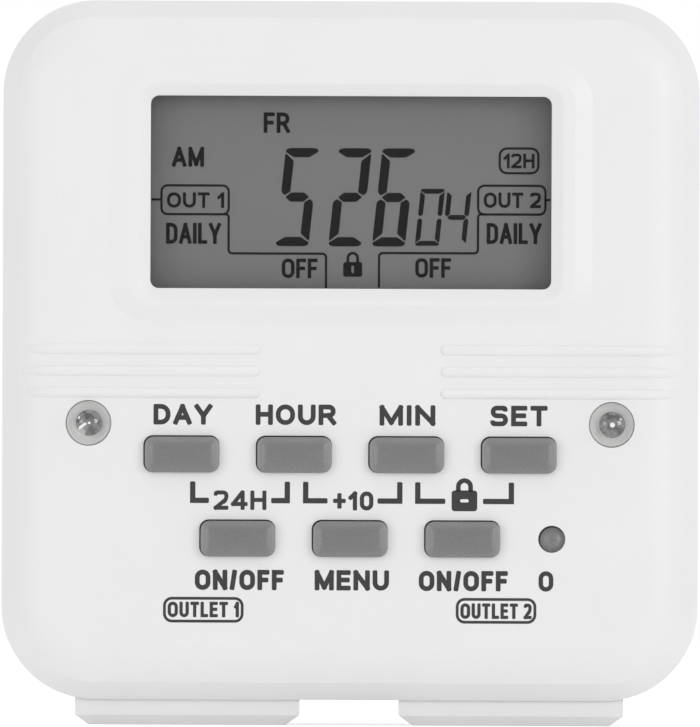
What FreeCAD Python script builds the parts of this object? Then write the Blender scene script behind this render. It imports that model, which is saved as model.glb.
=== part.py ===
import FreeCAD, Part
import math
import os

import Sketcher

# Plug-in timer with a clock display, eight push keys and two switched outlets, in millimetres.
# The origin is on the face that meets the wall, midway between the two flat blades.
# +Y points into the wall, +Z is up and +X is right for someone who faces the timer.
# A depth is a distance in front of the wall, so a point at depth d has y = -d.

# Driving dimensions
SIZES = {
    # Housing: outline where the two covers meet, walls and depths
    "body_width": 90.0,
    "body_height": 90.4,
    "corner_radius": 12.0,
    "centre_below_blades": 8.0,
    "face_depth": 38.0,
    "parting_depth": 8.0,
    "wall": 2.3,
    "face_thickness": 2.2,
    "rear_thickness": 2.5,
    "side_inset": 2.25,
    "side_band_height": 3.8,
    "rear_inset": 1.0,
    "rear_edge_chamfer": 1.4,
    # Pillowed edge of the face: a slope that starts at a crease and rolls into the flat
    "pillow_run": 2.7,
    "pillow_drop": 2.0,
    "pillow_radius": 7.0,
    # Lip of the rear cover that locates the front cover
    "lip_height": 1.5,
    "lip_thickness": 1.0,
    "lip_gap": 0.3,
    # Raised frame round the display
    "window_width": 51.8,
    "window_height": 24.9,
    "window_corner": 1.1,
    "window_below_top": 24.75,
    "bezel_width": 62.4,
    "bezel_height": 33.8,
    "bezel_corner": 5.2,
    "bezel_rise": 0.9,
    "bezel_outer_slope": 2.3,
    "bezel_inner_slope": 1.6,
    "bezel_crest_radius": 0.9,
    # Grip ribs, a group at each side of the face
    "rib_radius": 0.75,
    "rib_sink": 0.25,
    "rib_pitch": 2.8,
    "rib_top_above_centre": 0.1,
    "rib_inner_reach": 11.6,
    "rib_roll_radius": 5.3,
    "rib_roll_angle": 53.0,
    # Keys and the holes they move in
    "key_width": 9.63,
    "key_height": 4.6,
    "key_corner": 1.15,
    "key_edge_chamfer": 0.5,
    "key_gap": 0.1,
    "key_proud": 1.5,
    "key_pitch": 14.52,
    "key_row_pitch": 10.85,
    "low_keys_above_bottom": 20.95,
    "key_flange_lip": 0.8,
    "key_flange_thickness": 0.8,
    "key_stem_width": 2.2,
    "key_travel": 0.5,
    "reset_radius": 1.65,
    "reset_recess": 0.2,
    "reset_from_middle": 26.1,
    # Tactile switches under the keys
    "switch_side": 6.0,
    "switch_height": 3.4,
    "plunger_radius": 1.65,
    "plunger_gap": 0.1,
    "plunger_length": 2.1,
    "plunger_proud": 0.6,
    # Indicator lamps
    "lamp_hole_radius": 2.95,
    "lamp_radius": 2.5,
    "lamp_flange_radius": 2.87,
    "lamp_flange_thickness": 1.6,
    "lamp_height": 5.1,
    "lamp_recess": 0.1,
    "lamp_spacer_radius": 2.87,
    "lamp_inset": 11.2,
    "lamps_above_top_keys": 3.95,
    # Display stack
    "pane_gap": 0.1,
    "pane_flange_lip": 2.4,
    "pane_flange_thickness": 1.0,
    "glass_lip": 2.1,
    "glass_height_lip": 1.5,
    "glass_thickness": 2.0,
    "glass_holder_wall": 1.5,
    "glass_holder_gap": 0.1,
    "zebra_inset": 0.2,
    "zebra_height": 2.0,
    "zebra_width": 2.2,
    "zebra_length": 50.0,
    # Circuit boards
    "board_thickness": 1.6,
    "control_board_margin": 8.0,
    "control_board_top_margin": 7.8,
    "control_board_carrier_gap": 0.5,
    "control_board_notch_width": 4.5,
    "control_board_notch_height": 6.4,
    "control_board_depth": 28.8,
    "power_board_margin": 11.3,
    "power_board_top_margin": 6.8,
    "power_board_bottom_margin": 23.2,
    "power_board_depth": 9.0,
    # Bosses and screws
    "boss_radius": 2.5,
    "top_boss_side_inset": 7.8,
    "top_boss_end_inset": 8.7,
    "low_boss_side_inset": 7.4,
    "low_boss_end_inset": 10.2,
    "rear_boss_radius": 3.6,
    "control_boss_side_inset": 3.0,
    "control_boss_top_inset": 9.4,
    "control_boss_low_inset": 3.2,
    "power_post_side_inset": 2.7,
    "power_post_top_inset": 5.4,
    "power_post_low_inset": 4.4,
    "housing_screw_radius": 1.4,
    "housing_screw_head_radius": 2.6,
    "housing_screw_head": 2.0,
    "housing_screw_recess": 4.0,
    "housing_screw_grip": 10.0,
    "board_screw_radius": 1.0,
    "board_screw_head_radius": 2.2,
    "board_screw_head": 1.6,
    "board_screw_grip": 3.4,
    "thread_gap": 0.05,
    "screw_hole_gap": 0.3,
    # Plug, to the 15 A pattern with an earth pin
    "blade_pitch": 12.7,
    "blade_length": 17.9,
    "blade_thickness": 1.5,
    "line_blade_width": 6.35,
    "neutral_blade_width": 7.9,
    "blade_hole_radius": 1.6,
    "blade_hole_reach": 11.7,
    "blade_tip": 1.4,
    "blade_slot_gap": 0.1,
    "solder_proud": 0.6,
    "tail_slot_gap": 0.2,
    "blade_shoulder": 1.5,
    "blade_shoulder_thickness": 1.5,
    "blade_tail_width": 4.0,
    "earth_pin_radius": 2.4,
    "earth_pin_length": 21.4,
    "earth_shank_radius": 2.2,
    "earth_pin_below": 11.9,
    "earth_collar_radius": 4.0,
    "earth_collar": 1.5,
    "earth_neck_radius": 1.9,
    "earth_rivet_radius": 2.8,
    "earth_rivet": 0.8,
    "clamp_width": 30.0,
    "clamp_height": 13.0,
    "clamp_thickness": 2.5,
    "clamp_screw_reach": 11.6,
    "clamp_screw_grip": 2.8,
    # Outlet faces in the bottom of the housing
    "outlet_inset": 24.05,
    "outlet_width": 29.05,
    "outlet_back_depth": 5.5,
    "outlet_front_depth": 31.5,
    "outlet_proud": 3.3,
    "outlet_chamfer_width": 1.8,
    "outlet_chamfer_height": 1.3,
    "outlet_gap": 0.15,
    "outlet_flange_lip": 1.6,
    "outlet_flange_thickness": 1.4,
    "outlet_seat_up": 4.8,
    "rail_width": 2.2,
    "slot_from_front": 7.8,
    "line_slot_length": 7.0,
    "neutral_slot_length": 8.6,
    "slot_width": 2.0,
    "earth_hole_radius": 2.75,
    # Contact carriers and brass
    "carrier_width": 25.0,
    "carrier_front_inset": 1.0,
    "carrier_back_inset": 1.5,
    "carrier_height": 10.3,
    "chamber_depth": 9.6,
    "chamber_width": 5.4,
    "chamber_length": 9.4,
    "earth_chamber_radius": 3.9,
    "brass": 0.6,
    "clip_height": 8.7,
    "clip_length": 7.0,
    "clip_width": 3.0,
    "clip_pinch": 0.9,
    "clip_pinch_height": 2.5,
    "clip_mouth": 3.4,
    "clip_clearance": 0.4,
    "tail_width": 3.2,
    "line_tail_up": 6.6,
    "neutral_bus_up": 2.6,
    "neutral_bus_front": 20.0,
    "neutral_bus_back": 16.0,
    "neutral_tail_reach": -6.0,
    "earth_sleeve_grip": 0.1,
    "earth_sleeve_height": 8.6,
    "earth_sleeve_slit": 4.6,
    "earth_crossing": 0.35,
    "earth_bus_width": 5.0,
    "earth_bus_up": 5.0,
    # Relays
    "relay_width": 19.2,
    "relay_height": 15.6,
    "relay_tall": 15.2,
    "relay_base_lip": 0.2,
    "relay_base": 1.0,
    "relay_inset": 11.7,
    "relay_above_tails": 10.4,
    # Power supply parts on the power board
    "dropper_width": 18.0,
    "dropper_height": 8.5,
    "dropper_tall": 15.0,
    "dropper_inset": 12.1,
    "dropper_down": 20.9,
    "smoother_radius": 5.0,
    "smoother_tall": 16.0,
    "smoother_inset": 9.7,
    "smoother_down": 20.2,
    "varistor_radius": 5.0,
    "varistor_thickness": 4.0,
    "varistor_lead": 0.6,
    "varistor_right": 9.0,
    "varistor_down": 12.4,
    "fuse_radius": 4.2,
    "fuse_tall": 7.7,
    "fuse_left": 8.0,
    "fuse_down": 12.2,
    "rectifier_width": 8.4,
    "rectifier_height": 6.4,
    "rectifier_tall": 3.2,
    "rectifier_inset": 13.7,
    "rectifier_down": 10.9,
    "resistor_radius": 1.7,
    "resistor_length": 9.0,
    "resistor_inset": 11.7,
    "resistor_down": 14.4,
    "resistor_pitch": 5.0,
    "diode_radius": 1.3,
    "diode_length": 5.0,
    "diode_inward": 0.45,
    "diode_up": 4.5,
    "transistor_radius": 2.3,
    "transistor_tall": 4.6,
    "transistor_flat": 1.2,
    "transistor_from_relay": 5.2,
    "transistor_below": 3.0,
    "lead_gap": 0.1,
    # Parts on the back of the control board
    "chip_side": 10.0,
    "chip_tall": 1.5,
    "chip_leads": 12.4,
    "chip_lead_margin": 0.5,
    "chip_lead_thickness": 0.3,
    "chip_left": 12.0,
    "chip_up": 14.0,
    "crystal_radius": 1.05,
    "crystal_length": 6.2,
    "crystal_right": 6.0,
    "crystal_up": 6.0,
    "battery_radius": 5.8,
    "battery_tall": 5.4,
    "battery_down": 16.0,
    "link_pins": 6,
    "link_pitch": 2.54,
    "link_width": 2.5,
    "link_pin": 0.6,
    "link_base": 2.5,
    "link_socket": 8.5,
    "link_down": 3.9,
}


class Size:
    """A length in millimetres, or an angle in degrees, with the sheet's formula for it."""

    def __init__(self, value, formula=None):
        self.value = float(value)
        self.formula = formula or f"({self.value!r})"

    def __add__(self, other):
        other = as_size(other)
        return Size(self.value + other.value, f"({self.formula} + {other.formula})")

    def __sub__(self, other):
        other = as_size(other)
        return Size(self.value - other.value, f"({self.formula} - {other.formula})")

    def __mul__(self, other):
        other = as_size(other)
        return Size(self.value * other.value, f"({self.formula} * {other.formula})")

    def __truediv__(self, other):
        other = as_size(other)
        return Size(self.value / other.value, f"({self.formula} / {other.formula})")

    def __radd__(self, other):
        return as_size(other) + self

    def __rsub__(self, other):
        return as_size(other) - self

    def __rmul__(self, other):
        return as_size(other) * self

    def __neg__(self):
        return Size(-self.value, f"(-{self.formula})")


def as_size(amount):
    """A plain number as a Size."""
    return amount if isinstance(amount, Size) else Size(amount)


def slope_angle(rise, run):
    """The angle of a slope, in degrees."""
    rise, run = as_size(rise), as_size(run)
    angle = math.degrees(math.atan2(rise.value, run.value))
    return Size(angle, f"atan({rise.formula} / {run.formula})")


doc = FreeCAD.newDocument("plug_in_timer")
sheet = doc.addObject("Spreadsheet::Sheet", "sizes")
for row, (alias, amount) in enumerate(SIZES.items(), 1):
    sheet.set(f"A{row}", alias)
    sheet.set(f"B{row}", str(amount))
    sheet.setAlias(f"B{row}", alias)
doc.recompute()


class Sheet:
    """Each driving dimension as a Size, by its name."""

    def __getattr__(self, alias):
        return Size(getattr(sheet, alias), f"sizes.{alias}")


s = Sheet()
pieces = {}


# Helpers: binding, sketches and features
def bind(thing, prop, amount):
    """Bind one property of an object to a formula on the sheet."""
    thing.setExpression(prop, as_size(amount).formula)


def place(thing, x=0, depth=0, z=0):
    """Bind where an object stands: x, depth in front of the wall, and height."""
    bind(thing, "Placement.Base.x", x)
    bind(thing, "Placement.Base.y", -as_size(depth))
    bind(thing, "Placement.Base.z", z)


def keep(label, thing):
    """Name a finished sub-part."""
    thing.Label = label
    pieces[label] = thing
    return thing


def new_body(label, x=0, depth=0, z=0):
    """An empty body for one sub-part."""
    made = doc.addObject("PartDesign::Body", label)
    place(made, x, depth, z)
    return keep(label, made)


def origin_feature(body, role):
    """One of a body's own origin planes or axes."""
    return next(f for f in body.Origin.OriginFeatures if f.Role == role)


def new_sketch(body, plane, offset):
    """An empty sketch, a given distance along the normal of one of the body's origin planes."""
    made = body.newObject("Sketcher::SketchObject", f"{body.Name}_outline")
    made.AttachmentSupport = [(origin_feature(body, plane), "")]
    made.MapMode = "FlatFace"
    bind(made, "AttachmentOffset.Base.z", offset)
    return made


def limit(sketch, kind, *where):
    """Add one sized constraint and bind it. The last item of where is the size."""
    amount = as_size(where[-1])
    index = sketch.addConstraint(Sketcher.Constraint(kind, *where[:-1], amount.value))
    bind(sketch, f"Constraints[{index}]", amount)


def draw_rectangle(sketch, width, height, x=0, y=0):
    """A sharp rectangle centred on (x, y)."""
    width, height, x, y = map(as_size, (width, height, x, y))
    right, top = x + width / 2, y + height / 2
    left, low = right.value - width.value, top.value - height.value
    first = sketch.GeometryCount
    ends = [(left, low), (right.value, low), (right.value, top.value), (left, top.value)]
    for side in range(4):
        start, end = (FreeCAD.Vector(*ends[(side + turn) % 4], 0) for turn in (0, 1))
        sketch.addGeometry(Part.LineSegment(start, end))
    for side in range(4):
        following = first + (side + 1) % 4
        sketch.addConstraint(Sketcher.Constraint("Coincident", first + side, 2, following, 1))
        sketch.addConstraint(Sketcher.Constraint("Vertical" if side % 2 else "Horizontal", first + side))
    limit(sketch, "DistanceX", first, 1, first, 2, width)
    limit(sketch, "DistanceY", first + 1, 1, first + 1, 2, height)
    limit(sketch, "DistanceX", -1, 1, first + 1, 1, right)
    limit(sketch, "DistanceY", -1, 1, first + 2, 1, top)


def draw_rounded(sketch, width, height, radius, x=0, y=0):
    """A rectangle with round corners, centred on (x, y)."""
    width, height, radius, x, y = map(as_size, (width, height, radius, x, y))
    right, top = x + width / 2, y + height / 2
    half_wide, half_high, round_by = width.value / 2, height.value / 2, radius.value
    first = sketch.GeometryCount
    reach = [(half_wide, half_high), (half_high, half_wide)]
    for side in range(4):
        turn = FreeCAD.Rotation(FreeCAD.Vector(0, 0, 1), 90 * side)
        along, out = reach[side % 2]
        start, end = FreeCAD.Vector(round_by - along, -out, 0), FreeCAD.Vector(along - round_by, -out, 0)
        shift = FreeCAD.Vector(x.value, y.value, 0)
        sketch.addGeometry(Part.LineSegment(turn.multVec(start) + shift, turn.multVec(end) + shift))
    for side in range(4):
        turn = FreeCAD.Rotation(FreeCAD.Vector(0, 0, 1), 90 * side)
        along, out = reach[side % 2]
        centre = turn.multVec(FreeCAD.Vector(along - round_by, round_by - out, 0))
        ring = Part.Circle(centre + FreeCAD.Vector(x.value, y.value, 0), FreeCAD.Vector(0, 0, 1), round_by)
        sketch.addGeometry(Part.ArcOfCircle(ring, math.radians(90 * side - 90), math.radians(90 * side)))
    for side in range(4):
        line, arc, following = first + side, first + 4 + side, first + (side + 1) % 4
        sketch.addConstraint(Sketcher.Constraint("Tangent", line, 2, arc, 1))
        sketch.addConstraint(Sketcher.Constraint("Tangent", arc, 2, following, 1))
        sketch.addConstraint(Sketcher.Constraint("Vertical" if side % 2 else "Horizontal", line))
    for arc in range(first + 5, first + 8):
        sketch.addConstraint(Sketcher.Constraint("Equal", first + 4, arc))
    limit(sketch, "Radius", first + 4, radius)
    limit(sketch, "DistanceX", first + 3, 1, first + 1, 1, width)
    limit(sketch, "DistanceY", first, 1, first + 2, 1, height)
    limit(sketch, "DistanceX", -1, 1, first + 1, 1, right)
    limit(sketch, "DistanceY", -1, 1, first + 2, 1, top)


def draw_circle(sketch, radius, x=0, y=0):
    """A circle centred on (x, y)."""
    radius, x, y = map(as_size, (radius, x, y))
    centre = FreeCAD.Vector(x.value, y.value, 0)
    made = sketch.addGeometry(Part.Circle(centre, FreeCAD.Vector(0, 0, 1), radius.value))
    limit(sketch, "Radius", made, radius)
    limit(sketch, "DistanceX", -1, 1, made, 3, x)
    limit(sketch, "DistanceY", -1, 1, made, 3, y)


def extrude(kind, body, sketch, length, forward=True, taper=None):
    """A pad or pocket. Forward is along the sketch's normal. Taper leans its walls."""
    made = body.newObject(f"PartDesign::{kind}", f"{body.Name}_{kind.lower()}")
    made.Profile = sketch
    bind(made, "Length", length)
    made.Reversed = forward if kind == "Pocket" else not forward
    if taper is not None:
        bind(made, "TaperAngle", taper)
    return made


def pad(body, sketch, length, forward=True, taper=None):
    """Add material."""
    return extrude("Pad", body, sketch, length, forward, taper)


def pocket(body, sketch, length, forward=True, taper=None):
    """Take material away."""
    return extrude("Pocket", body, sketch, length, forward, taper)


def edges_at(feature, axis, level):
    """The names of the edges that lie wholly at one level of an axis."""
    doc.recompute()
    level = as_size(level).value
    names = []
    for number, edge in enumerate(feature.Shape.Edges, 1):
        low, high = (getattr(edge.BoundBox, axis + end) for end in ("Min", "Max"))
        if abs(low - level) < 1e-3 and abs(high - level) < 1e-3:
            names.append(f"Edge{number}")
    return names


def round_edges(body, feature, names, radius):
    """Fillet named edges of a feature."""
    made = body.newObject("PartDesign::Fillet", f"{body.Name}_fillet")
    made.Base = (feature, names)
    bind(made, "Radius", radius)
    return made


def trim_edges(body, feature, names, amount):
    """Chamfer named edges of a feature."""
    made = body.newObject("PartDesign::Chamfer", f"{body.Name}_chamfer")
    made.Base = (feature, names)
    bind(made, "Size", amount)
    return made


# Helpers: primitives and booleans
def slab(x, z, back, width, height, thickness):
    """A box centred on (x, z), standing on depth back and reaching forward by its thickness."""
    made = doc.addObject("Part::Box", "slab")
    bind(made, "Length", width)
    bind(made, "Width", thickness)
    bind(made, "Height", height)
    place(made, x - as_size(width) / 2, as_size(back) + thickness, z - as_size(height) / 2)
    return made


def disc(x, z, back, radius, thickness):
    """A cylinder that stands on depth back and reaches forward."""
    made = doc.addObject("Part::Cylinder", "disc")
    bind(made, "Radius", radius)
    bind(made, "Height", thickness)
    made.Placement = FreeCAD.Placement(FreeCAD.Vector(), FreeCAD.Rotation(FreeCAD.Vector(1, 0, 0), 90))
    place(made, x, back, z)
    return made


def roller(x, depth, z, radius, length):
    """A cylinder that lies along X, centred on x."""
    made = doc.addObject("Part::Cylinder", "roller")
    bind(made, "Radius", radius)
    bind(made, "Height", length)
    made.Placement = FreeCAD.Placement(FreeCAD.Vector(), FreeCAD.Rotation(FreeCAD.Vector(0, 1, 0), 90))
    place(made, x - as_size(length) / 2, depth, z)
    return made


def ball(x, depth, z, radius):
    """A sphere."""
    made = doc.addObject("Part::Sphere", "ball")
    bind(made, "Radius", radius)
    place(made, x, depth, z)
    return made


def fuse(*parts):
    """Several overlapping or touching solids made one."""
    made = doc.addObject("Part::MultiFuse", "fused")
    made.Shapes = list(parts)
    made.Refine = True
    return made


def cut(base, *tools):
    """A solid less others."""
    made = doc.addObject("Part::Cut", "cut")
    made.Base = base
    made.Tool = tools[0] if len(tools) == 1 else fuse(*tools)
    made.Refine = True
    return made


def group(label, parts):
    """Several like pieces, kept as separate solids of one sub-part."""
    made = doc.addObject("Part::Compound", label)
    made.Links = list(parts)
    return keep(label, made)


# Levels that several pieces share
centre = -s.centre_below_blades
half_width = s.body_width / 2
half_height = s.body_height / 2
crease_depth = s.face_depth - s.pillow_drop
inner_face = s.face_depth - s.face_thickness
board_front = s.control_board_depth + s.board_thickness
power_front = s.power_board_depth + s.board_thickness
plunger_top = board_front + s.switch_height + s.plunger_proud
band_depth = crease_depth - s.side_band_height
# Heights below are measured from the middle of the housing
low_keys = s.low_keys_above_bottom - half_height
top_keys = low_keys + s.key_row_pitch
lamp_level = top_keys + s.lamps_above_top_keys
lamp_reach = half_width - s.lamp_inset
window_level = half_height - s.window_below_top
clamp_back = s.rear_thickness + s.blade_shoulder_thickness
outlet_reach = half_width - s.outlet_inset
outlet_seat = s.outlet_seat_up - half_height
carrier_floor = outlet_seat + s.outlet_flange_thickness
carrier_front = s.outlet_front_depth - s.carrier_front_inset
carrier_back = s.outlet_back_depth + s.carrier_back_inset
slot_depth = s.outlet_front_depth - s.slot_from_front
earth_depth = slot_depth - s.earth_pin_below
earth_tail_depth = earth_depth - s.earth_pin_radius + s.earth_sleeve_grip - s.brass / 2
control_half = half_width - s.control_board_margin
control_top = half_height - s.control_board_top_margin
control_low = carrier_floor + s.carrier_height + s.control_board_carrier_gap
power_half = half_width - s.power_board_margin
power_top = half_height - s.power_board_top_margin
power_low = s.power_board_bottom_margin - half_height
tail_level = power_low + s.line_tail_up
neutral_level = power_low + s.neutral_bus_up
earth_bus_top = power_low + s.earth_bus_up
link_level = power_top - s.link_down
RIB_ROWS = 3
TOP_KEYS = {"day_key": -1.5, "hour_key": -0.5, "minute_key": 0.5, "set_key": 1.5}
LOW_KEYS = {"left_mode_key": -1, "program_key": 0, "right_mode_key": 1}
SIDES = {"left": -1, "right": 1}
housing_bosses = [
    (side * reach, height)
    for side in SIDES.values()
    for reach, height in (
        (half_width - s.top_boss_side_inset, half_height - s.top_boss_end_inset),
        (half_width - s.low_boss_side_inset, s.low_boss_end_inset - half_height),
    )
]
control_bosses = [
    (side * (control_half - s.control_boss_side_inset), height)
    for side in SIDES.values()
    for height in (control_top - s.control_boss_top_inset, control_low + s.control_boss_low_inset)
]
power_posts = [
    (side * (power_half - s.power_post_side_inset), height)
    for side in SIDES.values()
    for height in (power_top - s.power_post_top_inset, power_low + s.power_post_low_inset)
]
clamp_posts = [(side * s.clamp_screw_reach, s.centre_below_blades) for side in SIDES.values()]


# Front cover: one moulded shell. Its wall stands straight up to a band that slopes in, and its face
# is pillowed and carries the display bezel and the grip ribs.
def make_front_cover():
    body = new_body("front_cover", z=centre)
    outline = new_sketch(body, "XZ_Plane", s.parting_depth)
    draw_rounded(outline, s.body_width, s.body_height, s.corner_radius)
    pad(body, outline, band_depth - s.parting_depth)
    lean = -slope_angle(s.side_inset, s.side_band_height)
    band = new_sketch(body, "XZ_Plane", band_depth)
    draw_rounded(band, s.body_width, s.body_height, s.corner_radius)
    pad(body, band, s.side_band_height, taper=lean)
    crown = new_sketch(body, "XZ_Plane", crease_depth)
    draw_rounded(
        crown,
        s.body_width - 2 * s.side_inset,
        s.body_height - 2 * s.side_inset,
        s.corner_radius - s.side_inset,
    )
    face = pad(body, crown, s.pillow_drop, taper=-slope_angle(s.pillow_run, s.pillow_drop))
    round_edges(body, face, edges_at(face, "Y", -s.face_depth), s.pillow_radius)
    add_bezel(body)
    add_ribs(body)
    inside = (s.body_width - 2 * s.wall, s.body_height - 2 * s.wall, s.corner_radius - s.wall)
    hollow = new_sketch(body, "XZ_Plane", s.parting_depth)
    draw_rounded(hollow, *inside)
    pocket(body, hollow, band_depth - s.parting_depth)
    crown_hollow = new_sketch(body, "XZ_Plane", band_depth)
    draw_rounded(crown_hollow, *inside)
    pocket(body, crown_hollow, inner_face - band_depth, taper=lean)
    add_front_bosses(body)
    cut_face_holes(body)
    cut_outlet_openings(body)


def add_bezel(body):
    """The raised frame round the display: sloped outside, a rounded crest, sloped down to the pane."""
    rise = new_sketch(body, "XZ_Plane", s.face_depth)
    draw_rounded(rise, s.bezel_width, s.bezel_height, s.bezel_corner, 0, window_level)
    pad(body, rise, s.bezel_rise, taper=-slope_angle(s.bezel_outer_slope, s.bezel_rise))
    top = s.face_depth + s.bezel_rise
    well = new_sketch(body, "XZ_Plane", top)
    draw_rounded(
        well,
        s.window_width + 2 * s.bezel_inner_slope,
        s.window_height + 2 * s.bezel_inner_slope,
        s.window_corner + s.bezel_inner_slope,
        0,
        window_level,
    )
    slope = -slope_angle(s.bezel_inner_slope, s.bezel_rise)
    feature = pocket(body, well, s.bezel_rise, forward=False, taper=slope)
    round_edges(body, feature, edges_at(feature, "Y", -top), s.bezel_crest_radius)


def add_ribs(body):
    """Three round grip ribs each side, which roll over the pillow and sink into it at the crease."""
    level = s.rib_top_above_centre
    below = s.face_depth - s.rib_sink
    start = s.rib_inner_reach + s.rib_radius
    for side in SIDES.values():
        path = new_sketch(body, "XY_Plane", level)
        draw_rib_path(path, side, start, below)
        section = new_sketch(body, "YZ_Plane", side * start)
        for row in range(RIB_ROWS):
            draw_circle(section, s.rib_radius, -below, level - row * s.rib_pitch)
        rib = body.newObject("PartDesign::AdditivePipe", "ribs")
        rib.Profile = section
        rib.Spine = path
    end = body.newObject("PartDesign::AdditiveSphere", "rib_end")
    bind(end, "Radius", s.rib_radius)
    place(end, start, below, level)
    rows = body.newObject("PartDesign::MultiTransform", "rib_ends")
    rows.Originals = [end]
    down = body.newObject("PartDesign::LinearPattern", "rib_rows")
    down.Direction = (origin_feature(body, "Z_Axis"), [""])
    down.Reversed = True
    bind(down, "Length", (RIB_ROWS - 1) * s.rib_pitch)
    down.Occurrences = RIB_ROWS
    across = body.newObject("PartDesign::Mirrored", "rib_mirror")
    across.MirrorPlane = (origin_feature(body, "YZ_Plane"), [""])
    rows.Transformations = [down, across]
    body.Tip = rows


def draw_rib_path(path, side, start, below):
    """A rib's centre line: straight along the face, then an arc that turns down past the pillow."""
    roll, angle = s.rib_roll_radius, math.radians(s.rib_roll_angle.value)
    flat_end = half_width - s.side_inset - s.pillow_run - pillow_tangent()
    first = FreeCAD.Vector(side * start.value, -below.value, 0)
    second = FreeCAD.Vector(side * flat_end.value, -below.value, 0)
    ring = Part.Circle(second + FreeCAD.Vector(0, roll.value, 0), FreeCAD.Vector(0, 0, 1), roll.value)
    down = -math.pi / 2
    near, far = (1, 2) if side > 0 else (2, 1)
    path.addGeometry(Part.LineSegment(first, second))
    path.addGeometry(Part.ArcOfCircle(ring, *sorted((down, down + side * angle))))
    path.addConstraint(Sketcher.Constraint("Horizontal", 0))
    path.addConstraint(Sketcher.Constraint("Tangent", 0, 2, 1, near))
    limit(path, "DistanceX", -1, 1, 0, 1, side * start)
    limit(path, "DistanceY", -1, 1, 0, 1, -below)
    limit(path, "DistanceX", -1, 1, 1, 3, side * flat_end)
    limit(path, "Radius", 1, roll)
    limit(path, "DistanceX", 1, 3, 1, far, side * roll * sine(s.rib_roll_angle))


def sine(angle):
    """The sine of an angle in degrees."""
    return Size(math.sin(math.radians(angle.value)), f"sin({angle.formula})")


def pillow_tangent():
    """How far the pillow's roll reaches in from the edge that it rounds."""
    lean = slope_angle(s.pillow_drop, s.pillow_run)
    value = s.pillow_radius.value * math.tan(math.radians(lean.value / 2))
    return Size(value, f"({s.pillow_radius.formula} * tan({lean.formula} / 2))")


def add_front_bosses(body):
    """Posts inside the face for the control board and the housing screws, and rails for the outlets."""
    posts = new_sketch(body, "XZ_Plane", inner_face)
    for x, z in control_bosses:
        draw_circle(posts, s.boss_radius, x, z)
    pad(body, posts, inner_face - board_front, forward=False)
    columns = new_sketch(body, "XZ_Plane", inner_face)
    for x, z in housing_bosses:
        draw_circle(columns, s.boss_radius, x, z)
    pad(body, columns, inner_face - s.parting_depth, forward=False)
    rail_start = s.parting_depth + s.lip_height + s.lip_gap
    rails = new_sketch(body, "XZ_Plane", rail_start)
    low = s.wall / 2 - half_height
    half = s.outlet_width / 2 + s.outlet_gap + s.rail_width / 2
    for outlet in SIDES.values():
        for side in SIDES.values():
            draw_rectangle(
                rails,
                s.rail_width,
                outlet_seat - low,
                outlet * outlet_reach + side * half,
                (low + outlet_seat) / 2,
            )
    pad(body, rails, s.outlet_front_depth + s.outlet_gap - rail_start)
    board_pilots = new_sketch(body, "XZ_Plane", board_front)
    for x, z in control_bosses:
        draw_circle(board_pilots, s.board_screw_radius + s.thread_gap, x, z)
    pocket(body, board_pilots, s.board_screw_grip + s.screw_hole_gap)
    pilots = new_sketch(body, "XZ_Plane", s.parting_depth)
    for x, z in housing_bosses:
        draw_circle(pilots, s.housing_screw_radius + s.thread_gap, x, z)
    pocket(body, pilots, s.housing_screw_grip + s.screw_hole_gap)


def cut_face_holes(body):
    """Openings through the face for the display pane, the keys and the two lamps."""
    holes = new_sketch(body, "XZ_Plane", s.face_depth + s.bezel_rise)
    draw_rounded(holes, s.window_width, s.window_height, s.window_corner, 0, window_level)
    key_wide = s.key_width + 2 * s.key_gap
    key_high = s.key_height + 2 * s.key_gap
    key_round = s.key_corner + s.key_gap
    for row, level in ((TOP_KEYS, top_keys), (LOW_KEYS, low_keys)):
        for step in row.values():
            draw_rounded(holes, key_wide, key_high, key_round, step * s.key_pitch, level)
    draw_circle(holes, s.reset_radius + s.key_gap, s.reset_from_middle, low_keys)
    for side in SIDES.values():
        draw_circle(holes, s.lamp_hole_radius, side * lamp_reach, lamp_level)
    pocket(body, holes, s.face_thickness + s.bezel_rise, forward=False)


def cut_outlet_openings(body):
    """The two openings in the bottom wall that the outlet faces stand in."""
    width = s.outlet_width + 2 * s.outlet_gap
    length = s.outlet_front_depth + s.outlet_gap - s.parting_depth + s.lip_height
    middle = length / 2 - s.outlet_front_depth - s.outlet_gap
    openings = new_sketch(body, "XY_Plane", outlet_seat)
    for side in SIDES.values():
        draw_rectangle(openings, width, length, side * outlet_reach, middle)
    pocket(body, openings, s.outlet_seat_up + s.outlet_gap, forward=False)


# Rear cover: a shallow tray with a locating lip, screw bosses, board posts and the plug's slots
def make_rear_cover():
    body = new_body("rear_cover", z=centre)
    outline = new_sketch(body, "XZ_Plane", s.parting_depth)
    draw_rounded(outline, s.body_width, s.body_height, s.corner_radius)
    lean = -slope_angle(s.rear_inset, s.parting_depth)
    tray = pad(body, outline, s.parting_depth, forward=False, taper=lean)
    trim_edges(body, tray, edges_at(tray, "Y", 0), s.rear_edge_chamfer)
    outer = s.wall + s.lip_gap
    lip = new_sketch(body, "XZ_Plane", s.parting_depth)
    draw_rounded(lip, s.body_width - 2 * outer, s.body_height - 2 * outer, s.corner_radius - outer)
    pad(body, lip, s.lip_height)
    inner = outer + s.lip_thickness
    hollow = new_sketch(body, "XZ_Plane", s.parting_depth + s.lip_height)
    draw_rounded(hollow, s.body_width - 2 * inner, s.body_height - 2 * inner, s.corner_radius - inner)
    pocket(body, hollow, s.parting_depth + s.lip_height - s.rear_thickness, forward=False)
    add_rear_posts(body)
    cut_rear_holes(body)


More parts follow.
